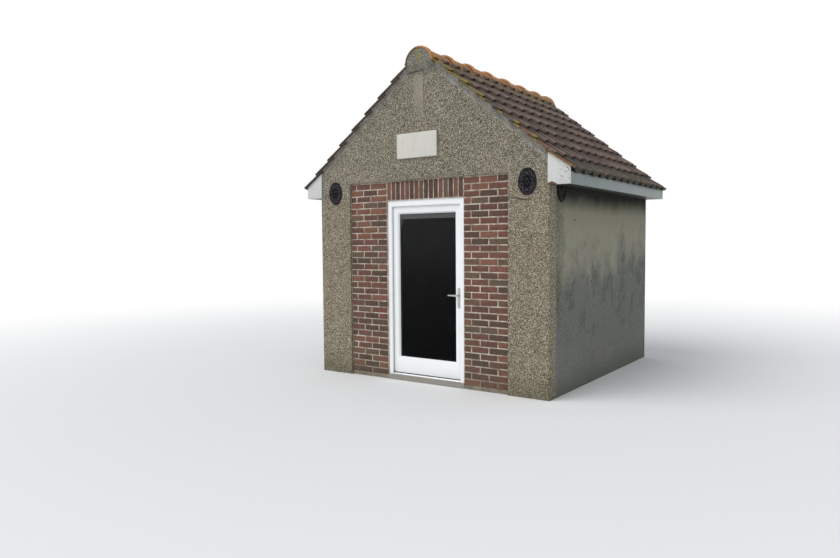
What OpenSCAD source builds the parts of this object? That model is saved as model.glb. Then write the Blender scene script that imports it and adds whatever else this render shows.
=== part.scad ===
// Small gabled wayside chapel of one room, in millimetres.
// X runs across the front, Y from the front to the back, Z up from the ground.
// The origin is on the ground under the middle of the building.

/* [Walls] */
// Width over the two side walls
wall_width = 3240; // [2700:10:4200]
// Depth from the front face to the rear face
wall_depth = 3300; // [2400:10:4600]
// Thickness of the front wall
front_wall = 300; // [260:5:420]
// Thickness of the side walls and the rear wall
back_wall = 250; // [200:5:360]
// Height of the floor above the ground
floor_height = 60; // [40:5:150]

/* [Brick panel] */
// Width of the rendered pier at each side of the brick panel
pier_width = 495; // [400:5:600]
// How far the panel rises above the soffit
panel_rise = 155; // [120:5:200]
// How far the bricks stand back from the rough render
panel_recess = 25; // [10:5:60]
// Height of the soldier course over the door
lintel_height = 230; // [150:5:260]

/* [Eaves] */
// Height of the soffit above the ground
soffit_height = 2275; // [1900:5:2750]
// How far the fascia stands out from the side wall
eave_overhang = 230; // [180:5:300]
// Height of the fascia board that shows below the tiles
fascia_height = 126; // [110:2:170]
// Thickness of the fascia board
fascia_board = 15; // [9:1:25]
// Thickness of the soffit board
soffit_board = 10; // [8:1:20]
// Thickness of the plates that close the ends of the eave boxes
box_end_board = 12; // [8:1:20]
// How far a box end laps over the front of the wall
box_end_lap = 20; // [0:5:40]

/* [Roof] */
// Slope of the roof in degrees
roof_pitch = 39; // [34:0.1:44]
// Distance along the slope from one tile tip to the next
tile_gauge = 270; // [220:2:320]
// Depth of the tile layer, from the crest of the rolls to its bed
tile_cover = 75; // [60:1:95]
// How far a tile tip stands above the head of the course below
tile_step = 22; // [8:1:28]
// How far the tile tips stand out past the fascia
tile_drip = 70; // [40:5:100]
// How far the tiles stand out past the gable walls
verge = 40; // [20:5:80]
// Thickness of the tile battens
batten_depth = 25; // [20:1:40]
// Width of the tile battens
batten_width = 45; // [35:1:60]
// Thickness of the roof boards
roof_board = 20; // [16:1:30]
// Depth of the rafters, square to the slope
rafter_depth = 100; // [80:5:140]
// Thickness of the rafters
rafter_width = 60; // [45:5:80]
// Number of rafter pairs
rafter_pairs = 5; // [3:1:8]
// Thickness of the ridge board
ridge_board_width = 40; // [25:5:60]
// Height of the ridge board
ridge_board_height = 180; // [140:5:240]

/* [Ridge] */
// Number of ridge tiles
ridge_count = 7; // [5:1:10]
// Outer radius of the collar at the front end of a ridge tile
collar_radius = 195; // [170:1:215]
// Length of the collar
collar_length = 56; // [40:2:80]
// Thickness of the collar
collar_wall = 20; // [16:1:26]
// Thickness of the barrel of a ridge tile
barrel_wall = 14; // [10:1:18]
// How much smaller the radius of the barrel is than that of the collar
collar_step = 18; // [12:1:26]
// How much the barrel gets narrower from its collar to its tail
barrel_taper = 14; // [6:1:20]
// How deep the ridge tiles sit in the rolls of the top course
ridge_sink = 70; // [56:2:84]
// How far the ridge stands out past the verge tiles
ridge_end = 20; // [10:2:40]

/* [Door] */
// Width of the doorway, which the door frame fills
door_width = 1100; // [900:10:1150]
// Depth of the door frame from front to back
frame_depth = 70; // [60:2:80]
// Width of a jamb, seen from the front
jamb_face = 60; // [50:2:75]
// Width of the head of the frame, seen from the front
head_face = 75; // [60:1:90]
// Depth of the stop that the door closes against
stop_depth = 25; // [18:1:35]
// How far the stop stands into the doorway
stop_width = 15; // [10:1:20]
// How far the frame stands back from the bricks
frame_setback = 20; // [10:5:60]
// Width of the chamfer round the inside of the frame
frame_chamfer = 5; // [2:0.5:9]
// Height of the threshold
threshold_height = 20; // [12:1:25]
// Gap all round the edge of the door
door_gap = 8; // [7:0.5:12]
// Gap between the front of the door and the stop
stop_gap = 5; // [5:0.5:8]
// Thickness of the door
leaf_depth = 68; // [60:1:78]
// Width of the stiles, seen past the frame
stile_face = 77; // [65:1:100]
// Height of the top rail
top_rail = 82; // [70:1:110]
// Height of the bottom rail
bottom_rail = 180; // [90:5:300]
// Thickness of the double glazing
glass_depth = 24; // [20:1:28]
// How far the glass stands back from the face of the door
glass_setback = 30; // [24:1:34]
// Width of the glazing bead
bead_width = 20; // [14:1:26]

/* [Door fittings] */
// Height of the lever above the ground
lever_height = 1070; // [950:5:1150]
// Length of the lever
lever_length = 135; // [100:5:150]
// How far the lever stands off the door
lever_reach = 48; // [44:1:60]
// Height of the lever at its neck
lever_depth = 20; // [16:1:26]
// Width of the long plate behind the lever
handle_plate_width = 30; // [26:1:40]
// Height of the long plate behind the lever
handle_plate_height = 240; // [200:5:280]
// Radius of the hinge pins
pin_radius = 5; // [4:0.5:6]
// Radius of the hinge knuckles
knuckle_radius = 9; // [8:0.5:12]
// Height of each half of a hinge
knuckle_height = 42; // [35:1:55]

/* [Plates on the walls] */
// Width of the plaque in the gable
plaque_width = 575; // [400:5:700]
// Height of the plaque in the gable
plaque_height = 295; // [200:5:340]
// Thickness of the plaque
plaque_depth = 24; // [15:1:40]
// Height of the lower edge of the plaque above the panel
plaque_rise = 256; // [200:2:320]
// How far the plaque sits left of the middle
plaque_shift = 66; // [0:2:120]
// Width of the bevel round the front of the plaque
plaque_bevel = 5; // [1:0.5:10]
// Width of an oval plate
oval_width = 212; // [160:2:260]
// Height of an oval plate
oval_height = 290; // [220:2:340]
// Thickness of an oval plate without its ornament
oval_depth = 8; // [6:1:14]
// Height of the centre of the oval plates above the soffit
oval_rise = 50; // [-20:2:80]
// How much lower the plates on the side walls are
side_plate_drop = 70; // [0:2:100]
// How far the plates on the side walls are from the front
side_plate_setback = 295; // [200:5:600]

/* [Hidden] */
$fn = 64;

// Finishes
rough_render = [0.49, 0.46, 0.39];
smooth_render = [0.50, 0.49, 0.44];
brick_red = [0.50, 0.29, 0.25];
concrete = [0.62, 0.60, 0.56];
tile_brown = [0.38, 0.33, 0.32];
ridge_clay = [0.66, 0.42, 0.28];
mortar_grey = [0.52, 0.50, 0.46];
white_plastic = [0.88, 0.89, 0.89];
pale_plastic = [0.65, 0.68, 0.68];
sawn_wood = [0.62, 0.48, 0.32];
pale_stone = [0.84, 0.83, 0.80];
black_iron = [0.05, 0.05, 0.06];
satin_metal = [0.75, 0.75, 0.74];
glass_tint = [0.35, 0.42, 0.42, 0.4];

// Walls
half_width = wall_width / 2;
front_y = -wall_depth / 2;
rear_y = wall_depth / 2;
room_front = front_y + front_wall;
room_rear = rear_y - back_wall;
room_side = half_width - back_wall;
half_panel = half_width - pier_width;
brick_y = front_y + panel_recess;
half_door = door_width / 2;
panel_top = soffit_height + panel_rise;
door_top = panel_top - lintel_height;

// Roof lines: each gives the height of one layer at a distance x from the ridge
slope = tan(roof_pitch);
square_up = 1 / cos(roof_pitch);
fascia_x = half_width + eave_overhang;
bed_apex = soffit_height + fascia_height + slope * fascia_x;
crest_apex = bed_apex + tile_cover * square_up;
board_apex = bed_apex - batten_depth * square_up;
rafter_apex = board_apex - roof_board * square_up;
rafter_foot_apex = rafter_apex - rafter_depth * square_up;
function line(apex, x) = apex - slope * x;
layer_play = 0.3;
seat_apex = bed_apex - layer_play * square_up;

// Eaves
eave_x = fascia_x + tile_drip;
fascia_back = fascia_x - fascia_board;
soffit_top = soffit_height + soffit_board;
box_end_proud = 2;

// Tile courses, counted from the eave
course_run = tile_gauge * cos(roof_pitch);
course_count = max(1, round(eave_x / course_run));
ridge_gap = 80;
function tip_x(i) = i < course_count ? eave_x - i * course_run : ridge_gap;
step_x = tile_step * sin(roof_pitch);
step_z = tile_step * cos(roof_pitch);
verge_front = front_y - verge;
verge_rear = rear_y + verge;

// Wall plates and rafters
plate_width = 120;
plate_height = 100;
plate_cover = 60;
plate_outer = half_width - plate_cover;
rafter_clear = 10;
seat_run = (plate_height - rafter_clear) / slope - plate_cover;
plate_top = line(rafter_foot_apex, plate_outer - seat_run);
side_wall_top = plate_top - plate_height;
half_ridge_board = ridge_board_width / 2;
rafter_tail_play = 5;
tail_z = soffit_top + rafter_tail_play;
rafter_inset = 40;
rafter_pitch_y = (room_rear - room_front - 2 * rafter_inset - rafter_width) / (rafter_pairs - 1);
batten_gap = 5;
batten_reach = batten_width / 2 * cos(roof_pitch) + batten_depth * sin(roof_pitch);
function batten_x(i) = i == 0 ? fascia_back - batten_gap - batten_reach : (tip_x(i) + tip_x(i + 1)) / 2;
board_gap = 1;

// Ridge
ridge_front = verge_front - ridge_end;
ridge_rear = verge_rear + ridge_end;
ridge_pitch_y = (ridge_rear - ridge_front) / ridge_count;
ridge_axis = line(crest_apex, collar_radius) - ridge_sink;
barrel_radius = collar_radius - collar_step;
tail_radius = barrel_radius - barrel_taper;
last_radius = barrel_radius - 4;
neck_length = 6;
collar_inner = collar_radius - collar_wall;
mortar_radius = collar_inner - layer_play;
mortar_drop = 110;
mortar_setback = 5;

// Door frame and door
frame_front = brick_y + frame_setback;
frame_back = frame_front + frame_depth;
stop_back = frame_front + stop_depth;
half_stop = half_door - jamb_face;
half_rebate = half_stop + stop_width;
head_z = door_top - head_face;
rebate_z = head_z + stop_width;
threshold_top = floor_height + threshold_height;
threshold_slope = 15;
threshold_lip = 6;
leaf_front = stop_back + stop_gap;
leaf_back = leaf_front + leaf_depth;
half_leaf = half_rebate - door_gap;
leaf_bottom = threshold_top + door_gap;
leaf_top = rebate_z - door_gap;
half_light = half_leaf - stile_face;
light_bottom = leaf_bottom + bottom_rail;
light_top = leaf_top - top_rail;
glass_front = leaf_front + glass_setback;
glass_back = glass_front + glass_depth;
glass_play = 2;
bead_setback = 3;
bead_nose = 5;

// Hinges, on the inside of the left jamb
pivot_inset = 5;
low_hinge_rise = 212;
high_hinge_drop = 272;
frame_flap = [34, 6];
frame_flap_drop = 20;
door_flap = [52, 5];
pivot_x = -half_rebate - pivot_inset;
pivot_y = leaf_back + knuckle_radius;
low_hinge = leaf_bottom + low_hinge_rise;
high_hinge = leaf_top - high_hinge_drop;
hinge_levels = [low_hinge, (low_hinge + high_hinge) / 2, high_hinge];
pin_play = 0.1;
half_gap = 0.5;

// Handles
lever_x = half_leaf - stile_face / 2;
handle_plate = 10;
plate_above_lever = 90;
rosette_radius = 13.5;
rosette_depth = 3;
elbow_radius = 16;
grip_half = 8;
grip_end_half = 5.5;
grip_end_depth = 13;
grip_return = 8;
lock_below_lever = 92;
lock_radius = 8.5;
lock_key_half = 5;
lock_height = 33;
lock_proud = 4;

// Plates
oval_x = (half_panel + half_width - box_end_lap) / 2;
oval_level = soffit_height + oval_rise;
oval_steps = 48;
rim_inset = 3;
rim_width = 14;
rim_rise = 8;
step_width = 5;
step_rise = 3;
boss_radius = 20;
boss_rise = 10;
bead_radius = 27;
bead_rise = 3;
boss_taper = 8;

// A block from its low corner to its high corner
module block(low, high) {
    translate(low) cube(high - low);
}

// An outline drawn in X and Z, carried along Y from y0 to y1
module along_y(y0, y1) {
    translate([0, y1, 0]) rotate([90, 0, 0]) linear_extrude(y1 - y0) children();
}

// An outline drawn in Y and Z, carried along X from x0 to x1
module along_x(x0, x1) {
    translate([x0, 0, 0]) rotate([90, 0, 90]) linear_extrude(x1 - x0) children();
}

// The same piece on the left or the right
module on_side(side) {
    if (side < 0) mirror([1, 0, 0]) children();
    else children();
}

module floor_slab() {
    color(concrete) block([-room_side, room_front, 0], [room_side, room_rear, floor_height]);
}

module door_step() {
    color(concrete) block([-half_door, brick_y, 0], [half_door, room_front, floor_height]);
}

module front_pier(side) {
    color(rough_render) on_side(side)
        block([half_panel, front_y, 0], [half_width, room_front, panel_top]);
}

module brick_panel(side) {
    color(brick_red) on_side(side)
        block([half_door, brick_y, 0], [half_panel, room_front, panel_top]);
}

module brick_lintel() {
    color(brick_red) block([-half_door, brick_y, door_top], [half_door, room_front, panel_top]);
}

// The part of a gable wall above the panel, up to the bed of the tiles
module gable_outline() {
    corner = line(seat_apex, half_width);
    polygon([
        [-half_width, panel_top], [half_width, panel_top],
        [half_width, corner], [0, seat_apex], [-half_width, corner]
    ]);
}

module front_gable() {
    color(rough_render) along_y(front_y, room_front) gable_outline();
}

module rear_gable() {
    color(smooth_render) along_y(room_rear, rear_y) gable_outline();
}

module rear_wall() {
    color(smooth_render) block([-half_width, room_rear, 0], [half_width, rear_y, panel_top]);
}

module side_wall(side) {
    color(smooth_render) on_side(side)
        block([room_side, room_front, 0], [half_width, room_rear, side_wall_top]);
}

module wall_plate(side) {
    color(sawn_wood) on_side(side)
        block([plate_outer - plate_width, room_front, side_wall_top], [plate_outer, room_rear, plate_top]);
}

// One rafter with its seat cut over the wall plate and its level tail
module rafter_outline() {
    polygon([
        [half_ridge_board, line(rafter_apex, half_ridge_board)],
        [fascia_back, line(rafter_apex, fascia_back)],
        [fascia_back, tail_z],
        [(rafter_foot_apex - tail_z) / slope, tail_z],
        [plate_outer, line(rafter_foot_apex, plate_outer)],
        [plate_outer, plate_top],
        [plate_outer - seat_run, plate_top],
        [half_ridge_board, line(rafter_foot_apex, half_ridge_board)]
    ]);
}

module rafters() {
    color(sawn_wood)
        for (i = [0 : rafter_pairs - 1], side = [-1, 1]) {
            y0 = room_front + rafter_inset + i * rafter_pitch_y;
            on_side(side) along_y(y0, y0 + rafter_width) rafter_outline();
        }
}

module ridge_board() {
    top = line(rafter_apex, half_ridge_board);
    color(sawn_wood)
        block([-half_ridge_board, room_front, top - ridge_board_height], [half_ridge_board, room_rear, top]);
}

module roof_boards(side) {
    color(sawn_wood) on_side(side) along_y(room_front, room_rear)
        polygon([
            [board_gap, line(board_apex, board_gap)],
            [fascia_back, line(board_apex, fascia_back)],
            [fascia_back, line(rafter_apex, fascia_back) + layer_play],
            [board_gap, line(rafter_apex, board_gap) + layer_play]
        ]);
}

module tile_battens() {
    color(sawn_wood)
        for (i = [0 : course_count - 1], side = [-1, 1]) {
            x = batten_x(i);
            on_side(side) along_y(room_front, room_rear)
                translate([x, line(board_apex, x)]) rotate(-roof_pitch)
                    translate([-batten_width / 2, layer_play]) square([batten_width, batten_depth - 2 * layer_play]);
        }
}

// The stepped top of the tile courses, from the eave up to the ridge
function course_points() = [
    for (i = [0 : course_count - 1])
        let (
            tip = tip_x(i),
            head = tip_x(i + 1),
            last = i == course_count - 1,
            back = last ? 0 : step_x
        )
        each [
            [tip, line(crest_apex, tip)],
            [head - back, line(crest_apex, head) - (last ? step_z * square_up : step_z)]
        ]
];

// One slope of tiles, down to the bed that the battens and gables carry
module tile_outline() {
    foot = eave_x - tile_cover * sin(roof_pitch);
    polygon(concat(
        course_points(),
        [[ridge_gap, line(bed_apex, ridge_gap)], [foot, line(bed_apex, foot)]]
    ));
}

module tile_courses(side) {
    color(tile_brown) on_side(side) along_y(verge_front, verge_rear) tile_outline();
}

// The height of the rolls of the top course, which the ridge tiles stand on
top_tip = tip_x(course_count - 1);
top_head_z = line(crest_apex, ridge_gap) - step_z * square_up;
function top_line(x) = top_head_z + (line(crest_apex, top_tip) - top_head_z) * (x - ridge_gap) / (top_tip - ridge_gap);

// Everything under those rolls, and under the axis between them, carried on past the verges
module under_ridge() {
    reach = collar_radius + 20;
    base = ridge_axis - 2 * collar_radius;
    seat = [for (x = [ridge_gap, reach]) [x, top_line(x) + layer_play]];
    along_y(ridge_front - 1, ridge_rear + 1)
        polygon([
            [ridge_gap, ridge_axis], seat[0], seat[1], [reach, base],
            [-reach, base], [-seat[1][0], seat[1][1]], [-seat[0][0], seat[0][1]], [-ridge_gap, ridge_axis]
        ]);
}

// One tapered half-round ridge tile, lying along Y with its collar at y = 0.
// The last one has a collar at both ends.
module ridge_tile(last) {
    full = last ? ridge_pitch_y : ridge_pitch_y + collar_length;
    neck = collar_length + neck_length;
    outer_end = last
        ? [[last_radius, full - neck], [collar_radius, full - collar_length], [collar_radius, full]]
        : [[tail_radius, full]];
    inner_end = last
        ? [[collar_inner, full], [collar_inner, full - collar_length], [last_radius - barrel_wall, full - neck]]
        : [[tail_radius - barrel_wall, full]];
    rotate([-90, 0, 0]) rotate_extrude($fn = 128)
        polygon(concat(
            [[collar_inner, 0], [collar_radius, 0], [collar_radius, collar_length], [barrel_radius, neck]],
            outer_end, inner_end,
            [[barrel_radius - barrel_wall, neck], [collar_inner, collar_length]]
        ));
}

module ridge_tiles() {
    color(ridge_clay) difference() {
        for (i = [0 : ridge_count - 1])
            translate([0, ridge_front + i * ridge_pitch_y, ridge_axis])
                ridge_tile(i == ridge_count - 1);
        under_ridge();
    }
}

// The mortar that closes the open end of the ridge over one gable: a half disc in
// the collar, and a fillet below it that slopes back to the face of the gable
module ridge_mortar_end() {
    y0 = ridge_front + mortar_setback;
    low = ridge_axis - mortar_drop;
    difference() {
        union() {
            along_y(y0, ridge_front + collar_length - 1) intersection() {
                translate([0, ridge_axis]) circle(mortar_radius);
                translate([-mortar_radius, ridge_axis]) square([2 * mortar_radius, mortar_radius]);
            }
            along_x(-mortar_radius, mortar_radius)
                polygon([[y0, ridge_axis], [front_y, ridge_axis], [front_y, low]]);
        }
        for (side = [-1, 1]) tile_courses(side);
    }
}

module ridge_mortar() {
    color(mortar_grey) {
        ridge_mortar_end();
        mirror([0, 1, 0]) ridge_mortar_end();
    }
}

module soffit(side) {
    color(white_plastic) on_side(side)
        block([half_width, front_y, soffit_height], [fascia_back, rear_y, soffit_top]);
}

module fascia(side) {
    color(pale_plastic) on_side(side) along_y(front_y, rear_y)
        polygon([
            [fascia_back, soffit_height], [fascia_x, soffit_height],
            [fascia_x, line(seat_apex, fascia_x)], [fascia_back, line(seat_apex, fascia_back)]
        ]);
}

module eave_box_ends() {
    inner = half_width - box_end_lap;
    outer = fascia_x + box_end_proud;
    color(white_plastic)
        for (side = [-1, 1], y = [front_y - box_end_board, rear_y])
            on_side(side) along_y(y, y + box_end_board)
                polygon([
                    [inner, soffit_height], [outer, soffit_height],
                    [outer, line(seat_apex, outer)], [inner, line(seat_apex, inner)]
                ]);
}

// A slab against the wall, from 0 to width and forward by depth, with its front corners bevelled
module bevelled_outline(width, depth, bevel) {
    polygon([
        [0, 0], [width, 0], [width, -depth + bevel], [width - bevel, -depth], [bevel, -depth], [0, -depth + bevel]
    ]);
}

// Bevelled from above and from the side, so that the four bevels meet in mitres
module gable_plaque() {
    color(pale_stone)
        translate([-plaque_shift - plaque_width / 2, front_y, panel_top + plaque_rise])
            intersection() {
                linear_extrude(plaque_height) bevelled_outline(plaque_width, plaque_depth, plaque_bevel);
                translate([0, 0, plaque_height]) rotate([0, 90, 0])
                    linear_extrude(plaque_width) bevelled_outline(plaque_height, plaque_depth, plaque_bevel);
            }
}

// An oval drawn in two directions, with the same number of sides whatever its size
module oval(width, height) {
    polygon([for (i = [0 : oval_steps - 1])
        [width / 2 * cos(i * 360 / oval_steps), height / 2 * sin(i * 360 / oval_steps)]]);
}

// A band along a path, as wide on each side of every point as the numbers in half say
function heading(path, i) = path[min(i + 1, len(path) - 1)] - path[max(i - 1, 0)];
function beside(path, half, i) =
    let (d = heading(path, i)) path[i] + half[i] * [-d[1], d[0]] / norm(d);
module band(path, half) {
    last = len(path) - 1;
    polygon(concat(
        [for (i = [0 : last]) beside(path, half, i)],
        [for (i = [last : -1 : 0]) beside(path, -half, i)]
    ));
}

// A cast oval plate, lying in X and Y and facing up: a stepped rim, and a tapered boss on its bead
module oval_casting() {
    rim_out = [oval_width, oval_height] - 2 * rim_inset * [1, 1];
    rim_in = rim_out - 2 * rim_width * [1, 1];
    linear_extrude(oval_depth) oval(oval_width, oval_height);
    linear_extrude(oval_depth + rim_rise) difference() {
        oval(rim_out[0], rim_out[1]);
        oval(rim_in[0], rim_in[1]);
    }
    linear_extrude(oval_depth + step_rise) difference() {
        oval(rim_in[0], rim_in[1]);
        oval(rim_in[0] - 2 * step_width, rim_in[1] - 2 * step_width);
    }
    cylinder(h = oval_depth + bead_rise, r = bead_radius);
    cylinder(h = oval_depth + boss_rise, r1 = boss_radius, r2 = boss_radius - boss_taper);
}

module oval_plate(side) {
    color(black_iron)
        translate([side * oval_x, front_y, oval_level]) rotate([90, 0, 0]) oval_casting();
}

// The plate on a side wall is cut off by the soffit
module side_plate(side) {
    y = front_y + side_plate_setback;
    color(black_iron) on_side(side)
        difference() {
            translate([half_width, y, oval_level - side_plate_drop]) rotate([90, 0, 90]) oval_casting();
            block([half_width - 1, y - oval_width, soffit_height], [fascia_x, y + oval_width, panel_top + 100]);
        }
}

// The frame: a stop at the front and a wider rebate behind it
module door_frame() {
    color(white_plastic) difference() {
        block([-half_door, frame_front, floor_height], [half_door, frame_back, door_top]);
        block([-half_stop, frame_front - 1, floor_height - 1], [half_stop, frame_back + 1, head_z]);
        block([-half_rebate, stop_back, floor_height - 1], [half_rebate, frame_back + 1, rebate_z]);
        frame_chamfers();
    }
}

// What the chamfer takes off the front edges round the doorway, mitred at the corners
module frame_chamfers() {
    front = frame_front - 1;
    back = frame_front + frame_chamfer;
    reach = frame_chamfer + 1;
    intersection() {
        translate([0, 0, floor_height - 1]) linear_extrude(head_z)
            polygon([
                [-half_stop - reach, front], [half_stop + reach, front], [half_stop, back], [-half_stop, back]
            ]);
        along_x(-half_door, half_door)
            polygon([[front, floor_height - 1], [back, floor_height - 1], [back, head_z], [front, head_z + reach]]);
    }
}

module door_threshold() {
    color(satin_metal) along_x(-half_stop, half_stop)
        polygon([
            [frame_front, floor_height], [frame_back, floor_height],
            [frame_back, threshold_top], [frame_front + threshold_slope, threshold_top],
            [frame_front, floor_height + threshold_lip]
        ]);
}

// The opening for the glass, from y0 to y1, smaller than the light by inset
module light_block(y0, y1, inset) {
    block([-half_light + inset, y0, light_bottom + inset], [half_light - inset, y1, light_top - inset]);
}

module door_leaf() {
    color(white_plastic) difference() {
        block([-half_leaf, leaf_front, leaf_bottom], [half_leaf, leaf_back, leaf_top]);
        light_block(leaf_front - 1, glass_back, 0);
        light_block(glass_back - 1, leaf_back + 1, bead_width);
    }
}

// The bead slopes from the face of the door in to the glass
module glazing_bead() {
    color(white_plastic) difference() {
        light_block(leaf_front + bead_setback, glass_front, 0);
        hull() {
            light_block(leaf_front + bead_setback - 1, leaf_front + bead_setback, bead_nose);
            light_block(glass_front, glass_front + 1, bead_width);
        }
    }
}

module door_glass() {
    color(glass_tint) light_block(glass_front, glass_back, glass_play);
}

// The lever from above: out of its neck, round the elbow, along the door and a little back at its end
module lever_plan() {
    turn_x = -elbow_radius;
    turn_y = -lever_reach + elbow_radius;
    elbow = [for (a = [0 : 15 : 90]) [turn_x + elbow_radius * cos(a), turn_y - elbow_radius * sin(a)]];
    grip = [for (t = [0.35, 0.7, 0.88, 1])
        [turn_x - (lever_length + turn_x - grip_half) * t, -lever_reach + grip_return * pow(t, 5)]];
    path = concat([[0, -handle_plate + 1]], elbow, grip);
    count = len(path) - 1;
    band(path, [for (i = [0 : count]) grip_half + (grip_end_half - grip_half) * i / count]);
}

// The lever from the front: it gets lower towards its end, which is round
module lever_face() {
    end = grip_end_depth / 2;
    tip = -lever_length + end;
    polygon(concat(
        [[grip_half + 2, -lever_depth / 2], [grip_half + 2, lever_depth / 2], [-elbow_radius, lever_depth / 2]],
        [for (a = [90 : 22.5 : 270]) [tip + end * cos(a), end * sin(a)]],
        [[-elbow_radius, -lever_depth / 2]]
    ));
}

// The long plate from the front, with round ends
module handle_plate_outline() {
    half = handle_plate_width / 2;
    low = plate_above_lever - handle_plate_height + half;
    high = plate_above_lever - half;
    translate([-half, low]) square([handle_plate_width, high - low]);
    for (level = [low, high]) translate([0, level]) circle(half);
}

// The lock cylinder from the front: a round plug over a narrower key part
module lock_outline() {
    circle(lock_radius);
    translate([-lock_key_half, lock_radius - lock_height + lock_key_half])
        square([2 * lock_key_half, lock_height - lock_radius - lock_key_half]);
    translate([0, lock_radius - lock_height + lock_key_half]) circle(lock_key_half);
}

// A long plate with its lever and lock, drawn facing -Y on a door face at y = 0
module handle() {
    color(satin_metal) translate([lever_x, 0, lever_height]) {
        along_y(-handle_plate, 0) handle_plate_outline();
        along_y(-handle_plate - rosette_depth, -handle_plate) circle(rosette_radius);
        along_y(-handle_plate - lock_proud, -handle_plate)
            translate([0, -lock_below_lever]) lock_outline();
        intersection() {
            translate([0, 0, -lever_depth]) linear_extrude(2 * lever_depth) lever_plan();
            along_y(-2 * lever_reach, 0) lever_face();
        }
    }
}

module handle_outside() {
    translate([0, leaf_front, 0]) handle();
}

module handle_inside() {
    translate([0, leaf_back, 0]) mirror([0, 1, 0]) handle();
}

// Lower halves of the hinges with their pins, on the jamb
module hinge_frame_side() {
    jamb = frame_back - pivot_y;
    top = knuckle_height - half_gap;
    color(white_plastic)
        for (z = hinge_levels) translate([pivot_x, pivot_y, z]) {
            cylinder(h = top, r = knuckle_radius);
            cylinder(h = 2 * knuckle_height, r = pin_radius);
            block([-knuckle_radius, jamb, 0], [0, 0, top]);
            block([-frame_flap[0], jamb, -frame_flap_drop], [0, jamb + frame_flap[1], top]);
        }
}

// Upper halves of the hinges, on the door
module hinge_door_side() {
    face = leaf_back - pivot_y;
    color(white_plastic)
        for (z = hinge_levels) translate([pivot_x, pivot_y, z + knuckle_height])
            difference() {
                union() {
                    cylinder(h = knuckle_height, r = knuckle_radius);
                    block([0, face, 0], [door_flap[0], face + door_flap[1], knuckle_height]);
                }
                translate([0, 0, -1]) cylinder(h = knuckle_height + 2, r = pin_radius + pin_play);
            }
}

floor_slab();
door_step();
front_pier(-1);  // front_pier_left
front_pier(1);  // front_pier_right
brick_panel(-1);  // brick_panel_left
brick_panel(1);  // brick_panel_right
brick_lintel();
front_gable();
side_wall(-1);  // side_wall_left
side_wall(1);  // side_wall_right
rear_wall();
rear_gable();
wall_plate(-1);  // wall_plate_left
wall_plate(1);  // wall_plate_right
rafters();
ridge_board();
roof_boards(-1);  // roof_boards_left
roof_boards(1);  // roof_boards_right
tile_battens();
tile_courses(-1);  // tile_courses_left
tile_courses(1);  // tile_courses_right
ridge_tiles();
ridge_mortar();
soffit(-1);  // soffit_left
soffit(1);  // soffit_right
fascia(-1);  // fascia_left
fascia(1);  // fascia_right
eave_box_ends();
gable_plaque();
oval_plate(-1);  // oval_plate_left
oval_plate(1);  // oval_plate_right
side_plate(-1);  // side_plate_left
side_plate(1);  // side_plate_right
door_frame();
door_threshold();
door_leaf();
glazing_bead();
door_glass();
handle_outside();
handle_inside();
hinge_frame_side();
hinge_door_side();
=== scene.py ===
# %% [markdown]
# # A small wayside chapel, finished in Blender
# The walls, the roof timbers and the door come as a frame of exact solids, in metres, with z = 0 at the
# foot of the walls and the front of the building at negative y. This notebook keeps that frame where it
# is. It gives every solid a finish, and it makes the pieces whose shape is too fine for the frame: bricks,
# pantiles, ridge tiles, cast plates and mortar. The first cell loads the frame.

# %% Load the frame
from math import cos, pi, radians, sin, tan

import bmesh
import bpy
import numpy as np
from mathutils import Matrix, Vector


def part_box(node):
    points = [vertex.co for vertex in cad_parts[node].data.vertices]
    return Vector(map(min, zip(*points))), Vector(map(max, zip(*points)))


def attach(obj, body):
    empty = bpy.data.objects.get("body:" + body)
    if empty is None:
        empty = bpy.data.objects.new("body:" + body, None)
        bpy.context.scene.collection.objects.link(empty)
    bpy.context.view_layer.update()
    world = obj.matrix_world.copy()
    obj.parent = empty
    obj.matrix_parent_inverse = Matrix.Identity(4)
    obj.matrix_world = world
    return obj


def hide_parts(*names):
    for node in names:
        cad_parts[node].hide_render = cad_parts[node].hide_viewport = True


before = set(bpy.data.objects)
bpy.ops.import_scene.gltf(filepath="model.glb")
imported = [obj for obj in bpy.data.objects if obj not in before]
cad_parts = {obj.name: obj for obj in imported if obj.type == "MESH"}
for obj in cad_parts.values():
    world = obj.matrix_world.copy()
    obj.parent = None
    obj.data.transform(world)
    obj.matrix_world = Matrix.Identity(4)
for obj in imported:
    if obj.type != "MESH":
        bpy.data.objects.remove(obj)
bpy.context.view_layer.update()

# %% [markdown]
# ## Lines that the pieces share
# Each piece reads its place from the solids. The underside of the tiles is one sloping plane on each side
# of the ridge, which is called the bed here, and most of the roof is told by its height above that bed.

# %% Walls, panel and roof lines
X, Y, Z = 0, 1, 2
LOW, HIGH = 0, 1


def limit(node, end, axis):
    """Where the box round a node begins or ends along one axis."""
    return float(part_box(node)[end][axis])


HALF_WIDTH = limit("front_gable", HIGH, X)
FRONT = limit("front_gable", LOW, Y)
REAR = -FRONT
ROOM_HALF = limit("side_wall_right", LOW, X)
ROOM_FRONT = limit("front_gable", HIGH, Y)
ROOM_REAR = limit("rear_wall", LOW, Y)
PANEL_TOP = limit("front_gable", LOW, Z)
HALF_PANEL = limit("brick_panel_right", HIGH, X)
HALF_DOOR = limit("brick_lintel", HIGH, X)
DOOR_TOP = limit("brick_lintel", LOW, Z)
BRICK_FACE = limit("brick_lintel", LOW, Y)
BED_APEX = limit("front_gable", HIGH, Z)
SOFFIT = limit("soffit_left", LOW, Z)
VERGE = limit("tile_courses_right", HIGH, Y)
EAVE = limit("tile_courses_right", HIGH, X)
PITCH = radians(39)


def bed(x):
    """Height of the bed of the tiles: the apex less the slope times the distance from the ridge."""
    return BED_APEX - tan(PITCH) * np.abs(x)


print(f"panel {2 * HALF_PANEL:.3f} wide, door {2 * HALF_DOOR:.3f} wide, apex {BED_APEX:.3f} high")

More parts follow.
